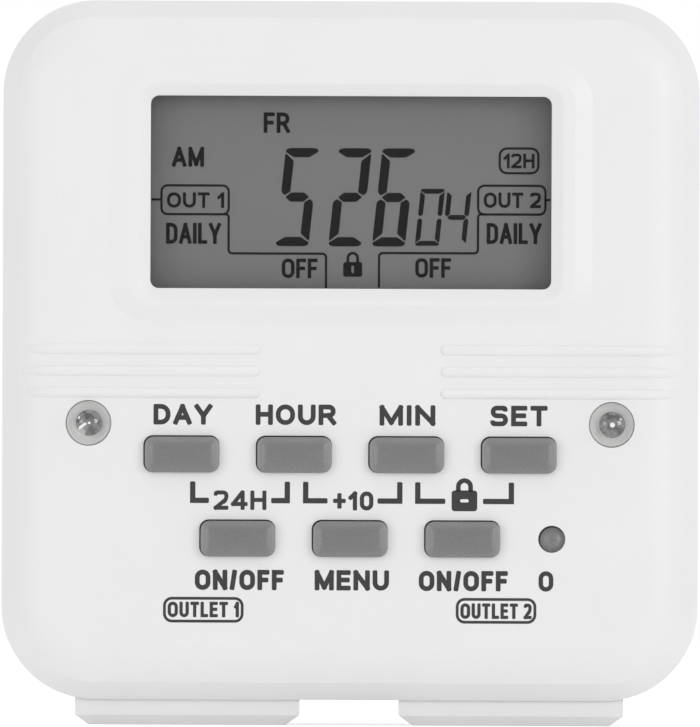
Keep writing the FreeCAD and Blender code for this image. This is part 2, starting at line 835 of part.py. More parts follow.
def add_rear_posts(body):
    """Bosses for the housing screws, posts for the power board and short posts for the blade clamp."""
    for spots, radius, top in (
        (housing_bosses, s.rear_boss_radius, s.parting_depth),
        (power_posts, s.boss_radius, s.power_board_depth),
        (clamp_posts, s.boss_radius, clamp_back),
    ):
        posts = new_sketch(body, "XZ_Plane", s.rear_thickness)
        for x, z in spots:
            draw_circle(posts, radius, x, z)
        pad(body, posts, top - s.rear_thickness)


def cut_rear_holes(body):
    """Slots and hole for the plug, holes for the screws, and the outlets' share of the bottom wall."""
    plug = new_sketch(body, "XZ_Plane", s.rear_thickness)
    gap = 2 * s.blade_slot_gap
    for side, width in ((-1, s.neutral_blade_width), (1, s.line_blade_width)):
        x = side * s.blade_pitch / 2
        draw_rectangle(plug, s.blade_thickness + gap, width + gap, x, s.centre_below_blades)
    pin_level = s.centre_below_blades - s.earth_pin_below
    draw_circle(plug, s.earth_pin_radius + s.blade_slot_gap, 0, pin_level)
    pocket(body, plug, s.rear_thickness, forward=False)
    screws = new_sketch(body, "XZ_Plane", s.parting_depth)
    heads = new_sketch(body, "XZ_Plane", 0)
    for x, z in housing_bosses:
        draw_circle(screws, s.housing_screw_radius + s.screw_hole_gap, x, z)
        draw_circle(heads, s.housing_screw_head_radius + s.screw_hole_gap, x, z)
    pocket(body, screws, s.parting_depth, forward=False)
    pocket(body, heads, s.housing_screw_recess)
    for spots, top, grip in (
        (power_posts, s.power_board_depth, s.board_screw_grip),
        (clamp_posts, clamp_back, s.clamp_screw_grip),
    ):
        pilots = new_sketch(body, "XZ_Plane", top)
        for x, z in spots:
            draw_circle(pilots, s.board_screw_radius + s.thread_gap, x, z)
        pocket(body, pilots, grip + s.thread_gap, forward=False)
    width = s.outlet_width + 2 * s.outlet_gap
    length = s.parting_depth + s.lip_height - s.outlet_back_depth + s.outlet_gap
    middle = length / 2 - s.parting_depth - s.lip_height
    openings = new_sketch(body, "XY_Plane", outlet_seat)
    for side in SIDES.values():
        draw_rectangle(openings, width, length, side * outlet_reach, middle)
    pocket(body, openings, s.outlet_seat_up, forward=False)


# Display: a clear pane in the bezel, and the glass behind it in a holder on the control board
def make_display():
    level = centre + window_level
    pane = new_body("display_window", depth=inner_face, z=level)
    face = new_sketch(pane, "XZ_Plane", 0)
    draw_rounded(
        face,
        s.window_width - 2 * s.pane_gap,
        s.window_height - 2 * s.pane_gap,
        s.window_corner - s.pane_gap,
    )
    pad(pane, face, s.face_thickness)
    flange = new_sketch(pane, "XZ_Plane", 0)
    lip = 2 * s.pane_flange_lip
    draw_rectangle(flange, s.window_width + lip, s.window_height + lip)
    pad(pane, flange, s.pane_flange_thickness, forward=False)
    wide = s.window_width + 2 * s.glass_lip
    high = s.window_height + 2 * s.glass_height_lip
    back = board_front + s.zebra_height
    keep("lcd_panel", slab(0, level, back, wide, high, s.glass_thickness))
    gap, rim = 2 * s.glass_holder_gap, 2 * s.glass_holder_wall
    tall = s.zebra_height + s.glass_thickness
    holder = slab(0, level, board_front, wide + gap + rim, high + gap + rim, tall)
    keep("lcd_frame", cut(holder, slab(0, level, board_front, wide + gap, high + gap, tall)))
    reach = (high - s.zebra_width) / 2 - s.zebra_inset
    strips = [
        slab(0, level + side * reach, board_front, s.zebra_length, s.zebra_width, s.zebra_height)
        for side in SIDES.values()
    ]
    group("zebra_strips", strips)


# Keys: caps with a flange that keeps them behind the face, over tactile switches on the board
def make_key(label, x, z):
    key = new_body(label, x, inner_face, z)
    cap = new_sketch(key, "XZ_Plane", 0)
    draw_rounded(cap, s.key_width, s.key_height, s.key_corner)
    tall = s.face_thickness + s.key_proud
    feature = pad(key, cap, tall)
    trim_edges(key, feature, edges_at(feature, "Y", -tall), s.key_edge_chamfer)
    flange = new_sketch(key, "XZ_Plane", 0)
    lip = 2 * (s.key_gap + s.key_flange_lip)
    draw_rectangle(flange, s.key_width + lip, s.key_height + lip)
    pad(key, flange, s.key_flange_thickness, forward=False)
    add_stem(key)
    make_plunger(label.replace("_key", "_switch_plunger"), x, z)


def make_reset_key(x, z):
    key = new_body("reset_key", x, inner_face, z)
    cap = new_sketch(key, "XZ_Plane", 0)
    draw_circle(cap, s.reset_radius)
    pad(key, cap, s.face_thickness - s.reset_recess)
    flange = new_sketch(key, "XZ_Plane", 0)
    draw_circle(flange, s.reset_radius + s.key_gap + s.key_flange_lip)
    pad(key, flange, s.key_flange_thickness, forward=False)
    add_stem(key)
    make_plunger("reset_switch_plunger", x, z)


def add_stem(key):
    """The square stud behind a key's flange that rests on its switch's plunger."""
    stem = new_sketch(key, "XZ_Plane", -s.key_flange_thickness)
    draw_rectangle(stem, s.key_stem_width, s.key_stem_width)
    pad(key, stem, inner_face - s.key_flange_thickness - plunger_top, forward=False)


def make_plunger(label, x, z):
    keep(label, disc(x, z, plunger_top - s.plunger_length, s.plunger_radius, s.plunger_length))


def make_keys():
    spots = {label: (step * s.key_pitch, centre + top_keys) for label, step in TOP_KEYS.items()}
    spots.update({label: (step * s.key_pitch, centre + low_keys) for label, step in LOW_KEYS.items()})
    for label, (x, z) in spots.items():
        make_key(label, x, z)
    spots["reset_key"] = (s.reset_from_middle, centre + low_keys)
    make_reset_key(*spots["reset_key"])
    well_floor = plunger_top - s.plunger_length - s.key_travel - s.plunger_gap
    top = board_front + s.switch_height
    cases = []
    for x, z in spots.values():
        case = slab(x, z, board_front, s.switch_side, s.switch_side, s.switch_height)
        well = disc(x, z, well_floor, s.plunger_radius + s.plunger_gap, top - well_floor)
        cases.append(cut(case, well))
    group("tactile_switches", cases)


# Lamps: clear domes with a flange just inside the face, on spacers that stand on the board
def make_lamps():
    z = centre + lamp_level
    back = s.face_depth - s.lamp_recess - s.lamp_flange_thickness
    barrel = s.lamp_height - s.lamp_radius
    spacers = []
    for name, side in SIDES.items():
        x = side * lamp_reach
        flange = disc(x, z, back, s.lamp_flange_radius, s.lamp_flange_thickness)
        body = disc(x, z, back, s.lamp_radius, barrel)
        dome = ball(x, back + barrel, z, s.lamp_radius)
        keep(f"{name}_lamp", fuse(flange, body, dome))
        spacers.append(disc(x, z, board_front, s.lamp_spacer_radius, back - board_front))
    group("lamp_spacers", spacers)


# Control board, its screws and the parts on its back
def make_control_board():
    back = s.control_board_depth
    level = centre + (control_top + control_low) / 2
    board = slab(0, level, back, 2 * control_half, control_top - control_low, s.board_thickness)
    wide, high = s.control_board_notch_width, s.control_board_notch_height
    notch_level = centre + control_top - high / 2
    tools = [
        slab(side * (control_half - wide / 2), notch_level, back, wide, high, s.board_thickness)
        for side in SIDES.values()
    ]
    hole = s.board_screw_radius + s.screw_hole_gap
    tools += [disc(x, centre + z, back, hole, s.board_thickness) for x, z in control_bosses]
    keep("control_board", cut(board, *tools))
    screws = []
    for x, z in control_bosses:
        head = disc(x, centre + z, back - s.board_screw_head, s.board_screw_head_radius, s.board_screw_head)
        shank = disc(x, centre + z, back, s.board_screw_radius, s.board_thickness + s.board_screw_grip)
        screws.append(fuse(head, shank))
    group("control_board_screws", screws)
    add_clock_parts(back)


def add_clock_parts(back):
    """The controller, the crystal that it counts by and the battery that keeps the time."""
    x, z = -s.chip_left, centre + s.chip_up
    case = slab(x, z, back - s.chip_tall, s.chip_side, s.chip_side, s.chip_tall)
    row = s.chip_side - 2 * s.chip_lead_margin
    leads = [
        slab(x, z, back - s.chip_lead_thickness, wide, high, s.chip_lead_thickness)
        for wide, high in ((s.chip_leads, row), (row, s.chip_leads))
    ]
    keep("controller_chip", fuse(case, *leads))
    x, z = s.crystal_right, centre + s.crystal_up
    depth = back - s.crystal_radius - s.lead_gap
    keep("clock_crystal", roller(x, depth, z, s.crystal_radius, s.crystal_length))
    depth = back - s.battery_tall
    keep("backup_battery", disc(0, centre - s.battery_down, depth, s.battery_radius, s.battery_tall))


# Power board with two relays and the mains supply for the clock
def make_power_board():
    back = s.power_board_depth
    level = centre + (power_top + power_low) / 2
    board = slab(0, level, back, 2 * power_half, power_top - power_low, s.board_thickness)
    gap = 2 * s.tail_slot_gap
    pole = s.blade_pitch / 2
    spots = [(side * pole, 0, s.blade_thickness, s.blade_tail_width) for side in SIDES.values()]
    for side in SIDES.values():
        spots.append((side * outlet_reach + pole, centre + tail_level, s.tail_width, s.brass))
    spots.append((s.neutral_tail_reach, centre + neutral_level, s.tail_width, s.brass))
    tools = [slab(x, z, back, wide + gap, high + gap, s.board_thickness) for x, z, wide, high in spots]
    hole = s.board_screw_radius + s.screw_hole_gap
    tools += [disc(x, centre + z, back, hole, s.board_thickness) for x, z in power_posts]
    keep("power_board", cut(board, *tools))
    screws = []
    for x, z in power_posts:
        head = disc(x, centre + z, power_front, s.board_screw_head_radius, s.board_screw_head)
        length = s.board_thickness + s.board_screw_grip
        shank = disc(x, centre + z, power_front - length, s.board_screw_radius, length)
        screws.append(fuse(head, shank))
    group("power_board_screws", screws)
    for name, side in SIDES.items():
        x, z = side * (power_half - s.relay_inset), centre + tail_level + s.relay_above_tails
        case = slab(x, z, power_front, s.relay_width, s.relay_height, s.relay_tall)
        lip = 2 * s.relay_base_lip
        base = slab(x, z, power_front, s.relay_width + lip, s.relay_height + lip, s.relay_base)
        keep(f"{name}_relay", fuse(case, base))
    add_supply_parts()
    add_relay_drivers()
    add_board_link()


def add_supply_parts():
    """The parts that make a low voltage for the clock from the mains."""
    top = centre + power_top
    x, z = s.dropper_inset - power_half, top - s.dropper_down
    dropper = slab(x, z, power_front, s.dropper_width, s.dropper_height, s.dropper_tall)
    keep("dropper_capacitor", dropper)
    x, z = power_half - s.smoother_inset, top - s.smoother_down
    keep("smoothing_capacitor", disc(x, z, power_front, s.smoother_radius, s.smoother_tall))
    depth = power_front + s.varistor_lead + s.varistor_radius
    x, z = s.varistor_right, top - s.varistor_down
    keep("surge_varistor", roller(x, depth, z, s.varistor_radius, s.varistor_thickness))
    keep("board_fuse", disc(-s.fuse_left, top - s.fuse_down, power_front, s.fuse_radius, s.fuse_tall))
    x, z = power_half - s.rectifier_inset, top - s.rectifier_down
    bridge = slab(x, z, power_front, s.rectifier_width, s.rectifier_height, s.rectifier_tall)
    keep("bridge_rectifier", bridge)
    x, z = s.resistor_inset - power_half, top - s.resistor_down
    depth = power_front + s.resistor_radius + s.lead_gap
    resistors = [
        roller(x, depth, z + row * s.resistor_pitch, s.resistor_radius, s.resistor_length)
        for row in range(2)
    ]
    group("dropper_resistors", resistors)


def add_relay_drivers():
    """A transistor beside each relay, and the diode across its coil."""
    depth = power_front + s.diode_radius + s.lead_gap
    reach, z = outlet_reach - s.diode_inward, centre + power_low + s.diode_up
    diodes = [roller(side * reach, depth, z, s.diode_radius, s.diode_length) for side in SIDES.values()]
    group("relay_diodes", diodes)
    relay_edge = power_half - s.relay_inset - s.relay_width / 2 - s.relay_base_lip
    reach, z = relay_edge - s.transistor_from_relay, centre - s.transistor_below
    radius, tall = s.transistor_radius, s.transistor_tall
    transistors = []
    for side in SIDES.values():
        can = disc(side * reach, z, power_front, radius, tall)
        flat = slab(side * reach, z - s.transistor_flat - radius / 2, power_front, 2 * radius, radius, tall)
        transistors.append(cut(can, flat))
    group("relay_transistors", transistors)


def add_board_link():
    """The pin strip on the power board and the socket strip on the control board."""
    z = centre + link_level
    wide = s.link_pins * s.link_pitch
    pin_end = s.control_board_depth - s.link_socket
    base = slab(0, z, power_front, wide, s.link_width, s.link_base)
    pin_start = power_front + s.link_base
    first = (s.link_pitch - wide) / 2
    pins = [
        slab(first + number * s.link_pitch, z, pin_start, s.link_pin, s.link_pin, pin_end - pin_start)
        for number in range(int(s.link_pins.value))
    ]
    keep("link_header", fuse(base, *pins))
    keep("link_socket", slab(0, z, pin_end, wide, s.link_width, s.link_socket))


# Plug: two flat blades with shoulders under a clamp, and a riveted earth pin
def make_blade(label, side, width):
    body = new_body(label, x=(side * s.blade_pitch - s.blade_thickness) / 2)
    prong = new_sketch(body, "YZ_Plane", 0)
    length = s.blade_length + s.rear_thickness
    draw_rectangle(prong, length, width, s.blade_length - length / 2)
    feature = pad(body, prong, s.blade_thickness)
    tip = s.blade_length
    corners = [
        name
        for name in edges_at(feature, "Y", tip)
        if feature.Shape.getElement(name).BoundBox.ZLength < s.blade_thickness.value / 2
    ]
    trim_edges(body, feature, corners, s.blade_tip)
    shoulder = new_sketch(body, "YZ_Plane", 0)
    thick = s.blade_shoulder_thickness
    draw_rectangle(shoulder, thick, width + 2 * s.blade_shoulder, -s.rear_thickness - thick / 2)
    pad(body, shoulder, s.blade_thickness)
    tail = new_sketch(body, "YZ_Plane", 0)
    length = power_front + s.solder_proud - clamp_back
    draw_rectangle(tail, length, s.blade_tail_width, -clamp_back - length / 2)
    pad(body, tail, s.blade_thickness)
    hole = new_sketch(body, "YZ_Plane", 0)
    draw_circle(hole, s.blade_hole_radius, s.blade_hole_reach, 0)
    pocket(body, hole, s.blade_thickness)


def make_plug():
    make_blade("line_blade", 1, s.line_blade_width)
    make_blade("neutral_blade", -1, s.neutral_blade_width)
    z = -s.earth_pin_below
    straight = s.earth_pin_length - s.earth_pin_radius
    neck = s.brass + s.earth_rivet / 2
    collar_back = s.rear_thickness
    bus_back = collar_back + s.earth_collar
    keep(
        "earth_pin",
        fuse(
            disc(0, z, -straight, s.earth_pin_radius, straight),
            disc(0, z, 0, s.earth_shank_radius, s.rear_thickness),
            ball(0, -straight, z, s.earth_pin_radius),
            disc(0, z, collar_back, s.earth_collar_radius, s.earth_collar),
            disc(0, z, bus_back, s.earth_neck_radius, neck),
            disc(0, z, bus_back + s.brass, s.earth_rivet_radius, s.earth_rivet),
        ),
    )
    plate = slab(0, 0, clamp_back, s.clamp_width, s.clamp_height, s.clamp_thickness)
    gap = 2 * s.tail_slot_gap
    tools = [
        slab(
            side * s.blade_pitch / 2,
            0,
            clamp_back,
            s.blade_thickness + gap,
            s.blade_tail_width + gap,
            s.clamp_thickness,
        )
        for side in SIDES.values()
    ]
    hole = s.board_screw_radius + s.screw_hole_gap
    tools += [disc(x, 0, clamp_back, hole, s.clamp_thickness) for x, z in clamp_posts]
    keep("blade_clamp", cut(plate, *tools))
    front = clamp_back + s.clamp_thickness
    screws = []
    for x, z in clamp_posts:
        head = disc(x, 0, front, s.board_screw_head_radius, s.board_screw_head)
        length = s.clamp_thickness + s.clamp_screw_grip
        screws.append(fuse(head, disc(x, 0, front - length, s.board_screw_radius, length)))
    group("clamp_screws", screws)


# Outlets: a chamfered face in the bottom wall, and a carrier above it that holds the contacts
def make_outlet_face(label, side):
    body = new_body(label, x=side * outlet_reach, z=centre)
    bottom = -(half_height + s.outlet_proud)
    length = s.outlet_front_depth - s.outlet_back_depth
    middle = -(s.outlet_front_depth + s.outlet_back_depth) / 2
    level = bottom + s.outlet_chamfer_height
    block = new_sketch(body, "XY_Plane", level)
    draw_rectangle(block, s.outlet_width, length, 0, middle)
    pad(body, block, carrier_floor - level)
    edge = new_sketch(body, "XY_Plane", level)
    draw_rectangle(edge, s.outlet_width, length, 0, middle)
    lean = -slope_angle(s.outlet_chamfer_width, s.outlet_chamfer_height)
    pad(body, edge, s.outlet_chamfer_height, forward=False, taper=lean)
    flange = new_sketch(body, "XY_Plane", outlet_seat)
    draw_rectangle(flange, s.outlet_width + 2 * s.outlet_flange_lip, length, 0, middle)
    pad(body, flange, s.outlet_flange_thickness)
    slots = new_sketch(body, "XY_Plane", bottom)
    draw_rectangle(slots, s.slot_width, s.line_slot_length, s.blade_pitch / 2, -slot_depth)
    draw_rectangle(slots, s.slot_width, s.neutral_slot_length, -s.blade_pitch / 2, -slot_depth)
    draw_circle(slots, s.earth_hole_radius, 0, -earth_depth)
    pocket(body, slots, carrier_floor - bottom)


def make_contact_carrier(label, side):
    body = new_body(label, x=side * outlet_reach, z=centre)
    length = carrier_front - carrier_back
    middle = -(carrier_front + carrier_back) / 2
    block = new_sketch(body, "XY_Plane", carrier_floor)
    draw_rectangle(block, s.carrier_width, length, 0, middle)
    pad(body, block, s.carrier_height)
    chambers = new_sketch(body, "XY_Plane", carrier_floor)
    tails = new_sketch(body, "XY_Plane", carrier_floor + s.chamber_depth)
    gap = 2 * s.tail_slot_gap
    for pole in SIDES.values():
        x = pole * s.blade_pitch / 2
        draw_rectangle(chambers, s.chamber_width, s.chamber_length, x, -slot_depth)
        draw_rectangle(tails, s.tail_width + gap, s.brass + gap, x, -slot_depth)
    draw_circle(chambers, s.earth_chamber_radius, 0, -earth_depth)
    draw_rectangle(tails, s.tail_width + gap, s.brass + gap, 0, -earth_tail_depth)
    pocket(body, chambers, s.chamber_depth)
    pocket(body, tails, s.carrier_height - s.chamber_depth)


def bent_strip(points, thickness, width):
    """A strip of sheet metal bent along a centre line of points, and its width as a vector."""
    line = Part.makePolygon([FreeCAD.Vector(*point) for point in points])
    section = line.makeOffset2D(thickness / 2, join=0, fill=True, openResult=True, intersection=False)
    section.translate(width * -0.5)
    return section.extrude(width)


def clip(x):
    """A hairpin contact over a slot at x: two leaves that flare at the mouth and nip a blade."""
    floor = (carrier_floor + s.clip_clearance).value
    top = floor + s.clip_height.value
    nip = (s.clip_pinch.value + s.brass.value) / 2
    half = [
        (s.clip_mouth.value / 2, floor + s.brass.value / 2),
        (nip, floor + s.clip_pinch_height.value),
        (s.clip_width.value / 2, top),
    ]
    y = -slot_depth.value
    line = [(x - reach, y, z) for reach, z in half] + [(x + reach, y, z) for reach, z in reversed(half)]
    return bent_strip(line, s.brass.value, FreeCAD.Vector(0, s.clip_length.value, 0)), top


def riser(x, points):
    """A flat tail at x that follows (depth, height) points."""
    line = [(x, -depth, z) for depth, z in points]
    return bent_strip(line, s.brass.value, FreeCAD.Vector(s.tail_width.value, 0, 0))


def sheet_metal(label, parts):
    """Stamped pieces joined as one solid, kept as a sub-part."""
    made = doc.addObject("Part::Feature", label)
    made.Shape = parts[0].multiFuse(parts[1:]).removeSplitter()
    place(made, z=centre)
    return keep(label, made)


def make_line_contact(label, side):
    x = (side * outlet_reach + s.blade_pitch / 2).value
    leaves, top = clip(x)
    level = tail_level.value
    end = (s.power_board_depth - s.solder_proud).value
    depth = slot_depth.value
    sheet_metal(label, [leaves, riser(x, [(depth, top), (depth, level), (end, level)])])


def make_neutral_bus():
    level = neutral_level.value
    back, front = s.neutral_bus_back.value, s.neutral_bus_front.value
    parts = []
    ends = []
    for side in SIDES.values():
        x = (side * outlet_reach - s.blade_pitch / 2).value
        leaves, top = clip(x)
        depth = slot_depth.value
        parts += [leaves, riser(x, [(depth, top), (depth, level), (back, level)])]
        ends.append(x)
    low = FreeCAD.Vector(ends[0] - s.tail_width.value / 2, -front, level - s.brass.value / 2)
    long = ends[1] - ends[0] + s.tail_width.value
    parts.append(Part.makeBox(long, front - back, s.brass.value, low))
    end = (s.power_board_depth - s.solder_proud).value
    tail = FreeCAD.Vector((s.neutral_tail_reach - s.tail_width / 2).value, -back, low.z)
    parts.append(Part.makeBox(s.tail_width.value, back - end, s.brass.value, tail))
    sheet_metal("neutral_bus", parts)


def make_earth_bus():
    back = (s.rear_thickness + s.earth_collar).value
    middle = back + s.brass.value / 2
    top = earth_bus_top.value
    crossing = (carrier_floor + s.carrier_height + s.earth_crossing + s.brass / 2).value
    inner = (s.earth_pin_radius - s.earth_sleeve_grip).value
    floor = (carrier_floor + s.clip_clearance).value
    tall = s.earth_sleeve_height.value
    depth = earth_depth.value
    parts = []
    for side in SIDES.values():
        x = side * outlet_reach.value
        foot = FreeCAD.Vector(x, -depth, floor)
        tube = Part.makeCylinder(inner + s.brass.value, tall, foot)
        tube = tube.cut(Part.makeCylinder(inner, tall, foot))
        slit = s.earth_sleeve_slit.value
        gap = Part.makeBox(slit, 2 * inner, tall, foot - FreeCAD.Vector(slit / 2, 2 * inner, 0))
        parts.append(tube.cut(gap))
        rear = earth_tail_depth.value
        points = [(rear, floor + tall / 2), (rear, crossing), (middle, crossing), (middle, top)]
        parts.append(riser(x, points))
    wide = s.earth_bus_width.value
    reach = (outlet_reach + s.tail_width / 2).value
    thick = s.brass.value
    front = -back - thick
    parts.append(Part.makeBox(2 * reach, thick, wide, FreeCAD.Vector(-reach, front, top - wide)))
    pin = (s.centre_below_blades - s.earth_pin_below).value
    rise = pin + s.earth_rivet_radius.value + thick - top
    corner = FreeCAD.Vector(-wide / 2 - thick, front, top - wide)
    post = Part.makeBox(wide + 2 * thick, thick, rise + wide, corner)
    neck = s.earth_neck_radius.value + s.thread_gap.value
    hole = Part.makeCylinder(neck, 2 * thick, FreeCAD.Vector(0, front, pin), FreeCAD.Vector(0, 1, 0))
    parts.append(post.cut(hole))
    sheet_metal("earth_bus", parts)


# Screws that close the housing from behind
def make_housing_screws():
    seat = s.housing_screw_recess
    screws = []
    tall, radius = s.housing_screw_head, s.housing_screw_head_radius
    length = s.parting_depth + s.housing_screw_grip - seat
    for x, z in housing_bosses:
        head = disc(x, centre + z, seat - tall, radius, tall)
        screws.append(fuse(head, disc(x, centre + z, seat, s.housing_screw_radius, length)))
    group("housing_screws", screws)


make_front_cover()
make_rear_cover()
make_display()
make_keys()
make_lamps()
for name, side in SIDES.items():
    make_outlet_face(f"{name}_outlet_face", side)
    make_contact_carrier(f"{name}_contact_carrier", side)
    make_line_contact(f"{name}_line_contact", side)
make_control_board()
make_power_board()
make_plug()
make_neutral_bus()
make_earth_bus()
make_housing_screws()
doc.recompute()


# Checks, then one file for each sub-part
def check_steps(body):
    """Stop if a pad adds nothing to its body or a pocket takes nothing away."""
    volume = 0
    for step in body.Group:
        if step.TypeId in STEP_SIGNS:
            change = step.Shape.Volume - volume
            if change * STEP_SIGNS[step.TypeId] < SMALLEST_CHANGE:
                raise RuntimeError(f"{step.Label} leaves {body.Label} as it was")
        if step.TypeId in STEP_SIGNS or step.TypeId in OTHER_STEPS:
            volume = step.Shape.Volume


SMALLEST_CHANGE = 0.01
STEP_SIGNS = {"PartDesign::Pad": 1, "PartDesign::Pocket": -1, "PartDesign::AdditivePipe": 1}
OTHER_STEPS = ("PartDesign::Fillet", "PartDesign::Chamfer", "PartDesign::MultiTransform")
for thing in doc.Objects:
    if set(thing.State) & {"Invalid", "Error"}:
        raise RuntimeError(f"{thing.Label} could not be made: {thing.State}")
for label, thing in pieces.items():
    if thing.Shape.isNull() or not thing.Shape.isValid():
        raise RuntimeError(f"{label} has no valid shape")
    wanted = len(thing.Links) if thing.TypeId == "Part::Compound" else 1
    if len(thing.Shape.Solids) != wanted:
        raise RuntimeError(f"{label} has {len(thing.Shape.Solids)} solids, not {wanted}")
    if thing.TypeId == "PartDesign::Body":
        check_steps(thing)
os.makedirs("parts", exist_ok=True)
for label, thing in pieces.items():
    thing.Shape.exportStep(f"parts/{label}.step")
print(len(pieces), "sub-parts made")
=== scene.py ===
from math import asin, cos, pi, radians, sin, tan

import bmesh
import bpy
import numpy as np
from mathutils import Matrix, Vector


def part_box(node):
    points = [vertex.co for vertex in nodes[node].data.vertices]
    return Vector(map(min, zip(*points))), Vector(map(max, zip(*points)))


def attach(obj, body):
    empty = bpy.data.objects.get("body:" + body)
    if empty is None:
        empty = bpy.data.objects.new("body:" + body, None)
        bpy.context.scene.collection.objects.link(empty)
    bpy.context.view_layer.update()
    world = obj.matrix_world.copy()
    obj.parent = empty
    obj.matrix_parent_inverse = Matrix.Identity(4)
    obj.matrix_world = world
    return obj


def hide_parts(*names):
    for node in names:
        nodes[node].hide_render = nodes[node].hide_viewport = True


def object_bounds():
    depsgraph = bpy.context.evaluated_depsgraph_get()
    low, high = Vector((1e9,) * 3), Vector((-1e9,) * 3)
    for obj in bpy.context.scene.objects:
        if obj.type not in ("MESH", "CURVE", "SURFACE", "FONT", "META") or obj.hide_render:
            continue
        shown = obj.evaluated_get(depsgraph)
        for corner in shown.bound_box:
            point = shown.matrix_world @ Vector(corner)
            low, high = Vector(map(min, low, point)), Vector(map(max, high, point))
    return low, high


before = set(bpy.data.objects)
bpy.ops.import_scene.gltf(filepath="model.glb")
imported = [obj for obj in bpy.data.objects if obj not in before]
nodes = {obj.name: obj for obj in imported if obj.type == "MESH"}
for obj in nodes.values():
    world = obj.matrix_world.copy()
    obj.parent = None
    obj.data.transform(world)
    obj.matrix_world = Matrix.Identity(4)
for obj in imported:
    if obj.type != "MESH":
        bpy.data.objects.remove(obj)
cad_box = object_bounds()
scene = bpy.context.scene


# Housing
# Two injection-moulded covers of white flame-retardant plastic, closed by four screws from behind.
# The mould's fine spark finish leaves a soft satin, a little uneven where the melt flowed.
MM = 0.001


class Socket:
    """An output of a material's nodes. Arithmetic on it adds Math nodes."""

    def __init__(self, tree, output=None):
        self.tree = tree
        self.output = output

    def node(self, kind, settings=(), inputs=(), output=0):
        """Add a node of a type, with its own settings, then values or Sockets for its inputs."""
        made = self.tree.nodes.new("ShaderNode" + kind)
        for name, value in dict(settings).items():
            setattr(made, name, value)
        for name, value in dict(inputs).items():
            if isinstance(value, Socket):
                self.tree.links.new(value.output, made.inputs[name])
            else:
                made.inputs[name].default_value = value
        return Socket(self.tree, made.outputs[output]) if made.outputs else None

    def maths(self, operation, *values):
        return self.node("Math", {"operation": operation}, dict(enumerate(values)))

    def __add__(self, other):
        return self.maths("ADD", self, other)

    def __mul__(self, other):
        return self.maths("MULTIPLY", self, other)

    __radd__ = __add__
    __rmul__ = __mul__


def new_material(name):
    """An empty material and the Socket that its nodes start from."""
    made = bpy.data.materials.new(name)
    made.use_nodes = True
    made.node_tree.nodes.clear()
    return made, Socket(made.node_tree)


def place_of(start, *scale):
    """Object coordinates in millimetres, times a scale, or one along each of x, y and z."""
    where = start.node("TexCoord", output="Object")
    stretch = tuple(np.broadcast_to(scale, 3) / MM)
    return start.node("Mapping", inputs={"Vector": where, "Scale": stretch})


def noise(start, size, detail=2, stretch=(1, 1, 1)):
    """Noise from 0 to 1 with features of a size in millimetres, longer along an axis by its stretch."""
    where = place_of(start, *(1 / (size * along) for along in stretch))
    return start.node("TexNoise", inputs={"Vector": where, "Scale": 1, "Detail": detail})


def tint(start, amount, low, high):
    """A colour between two, by an amount from 0 to 1. A single number is a grey."""
    colours = {6: (*np.broadcast_to(low, 3), 1), 7: (*np.broadcast_to(high, 3), 1)}
    return start.node("Mix", {"data_type": "RGBA"}, {0: amount, **colours}, output=2)


def bump(start, height, relief):
    """A normal that follows a height from 0 to 1, of a relief in millimetres."""
    return start.node("Bump", inputs={"Height": height, "Distance": relief * MM})


def principled(start, colour, rough, specular=0.5, **others):
    """The material's shader, of a colour, a roughness and other inputs, and its output."""
    inputs = {"Base Color": colour, "Roughness": rough, "Specular IOR Level": specular, **others}
    shader = start.node("BsdfPrincipled", inputs=inputs)
    start.node("OutputMaterial", inputs={"Surface": shader})


def moulded(name, colour, rough, grain=0.25):
    """Moulded plastic: spark-finish grain, slow flow mottling in tone and in gloss."""
    made, start = new_material(name)
    flow = noise(start, 12, 3)
    fine = noise(start, grain)
    colour = tint(start, flow, 0.98 * np.array(colour), 1.02 * np.array(colour))
    rough = rough - 0.05 + 0.1 * (0.5 * flow + 0.5 * fine)
    principled(start, colour, rough, Normal=bump(start, fine, 0.006))
    return made


def dress(material, *names):
    """Give CAD nodes a material in their own slots."""
    for name in names:
        for slot in nodes[name].material_slots:
            slot.material = material


dress(moulded("housing white", (0.85, 0.85, 0.855), 0.42), "front_cover", "rear_cover")


# Outlet faces
# Separate mouldings of the same white plastic that stand in the bottom wall of the housing.
# Their slots are wiped clean by plugs, so they are a touch glossier than the covers.
dress(moulded("outlet white", (0.84, 0.84, 0.845), 0.34, 0.4), "left_outlet_face", "right_outlet_face")


# Keys
# Seven rounded-rectangle caps and a small round reset cap, moulded in grey plastic with a slight
# crown, each with a flange behind the face and a stud that meets its switch. By the play of the
# flange each hangs a little low and to the right in its opening.
def closed_skin(rows):
    """Points and faces of a closed surface: each row is a loop of points, and the first and last
    rows each shrink to the point in their middle."""
    count, across = rows.shape[:2]
    points = np.vstack([rows[:1].mean(1), rows[1:-1].reshape(-1, 3), rows[-1:].mean(1)])
    loop = 1 + np.arange((count - 2) * across).reshape(count - 2, across)
    beside = np.roll(loop, -1, axis=1)
    quads = np.stack([loop[:-1], beside[:-1], beside[1:], loop[1:]], -1).reshape(-1, 4)
    first_fan = np.stack([np.zeros(across, int), beside[0], loop[0]], -1)
    last_fan = np.stack([np.full(across, len(points) - 1), loop[-1], beside[-1]], -1)
    return points, quads.tolist() + first_fan.tolist() + last_fan.tolist()


def capped(rows):
    """A closed surface whose first and last loops are filled flat."""
    return closed_skin(np.vstack([rows[:1], rows, rows[-1:]]))


def placed(name, data):
    """A new object in the scene."""
    made = bpy.data.objects.new(name, data)
    scene.collection.objects.link(made)
    return made


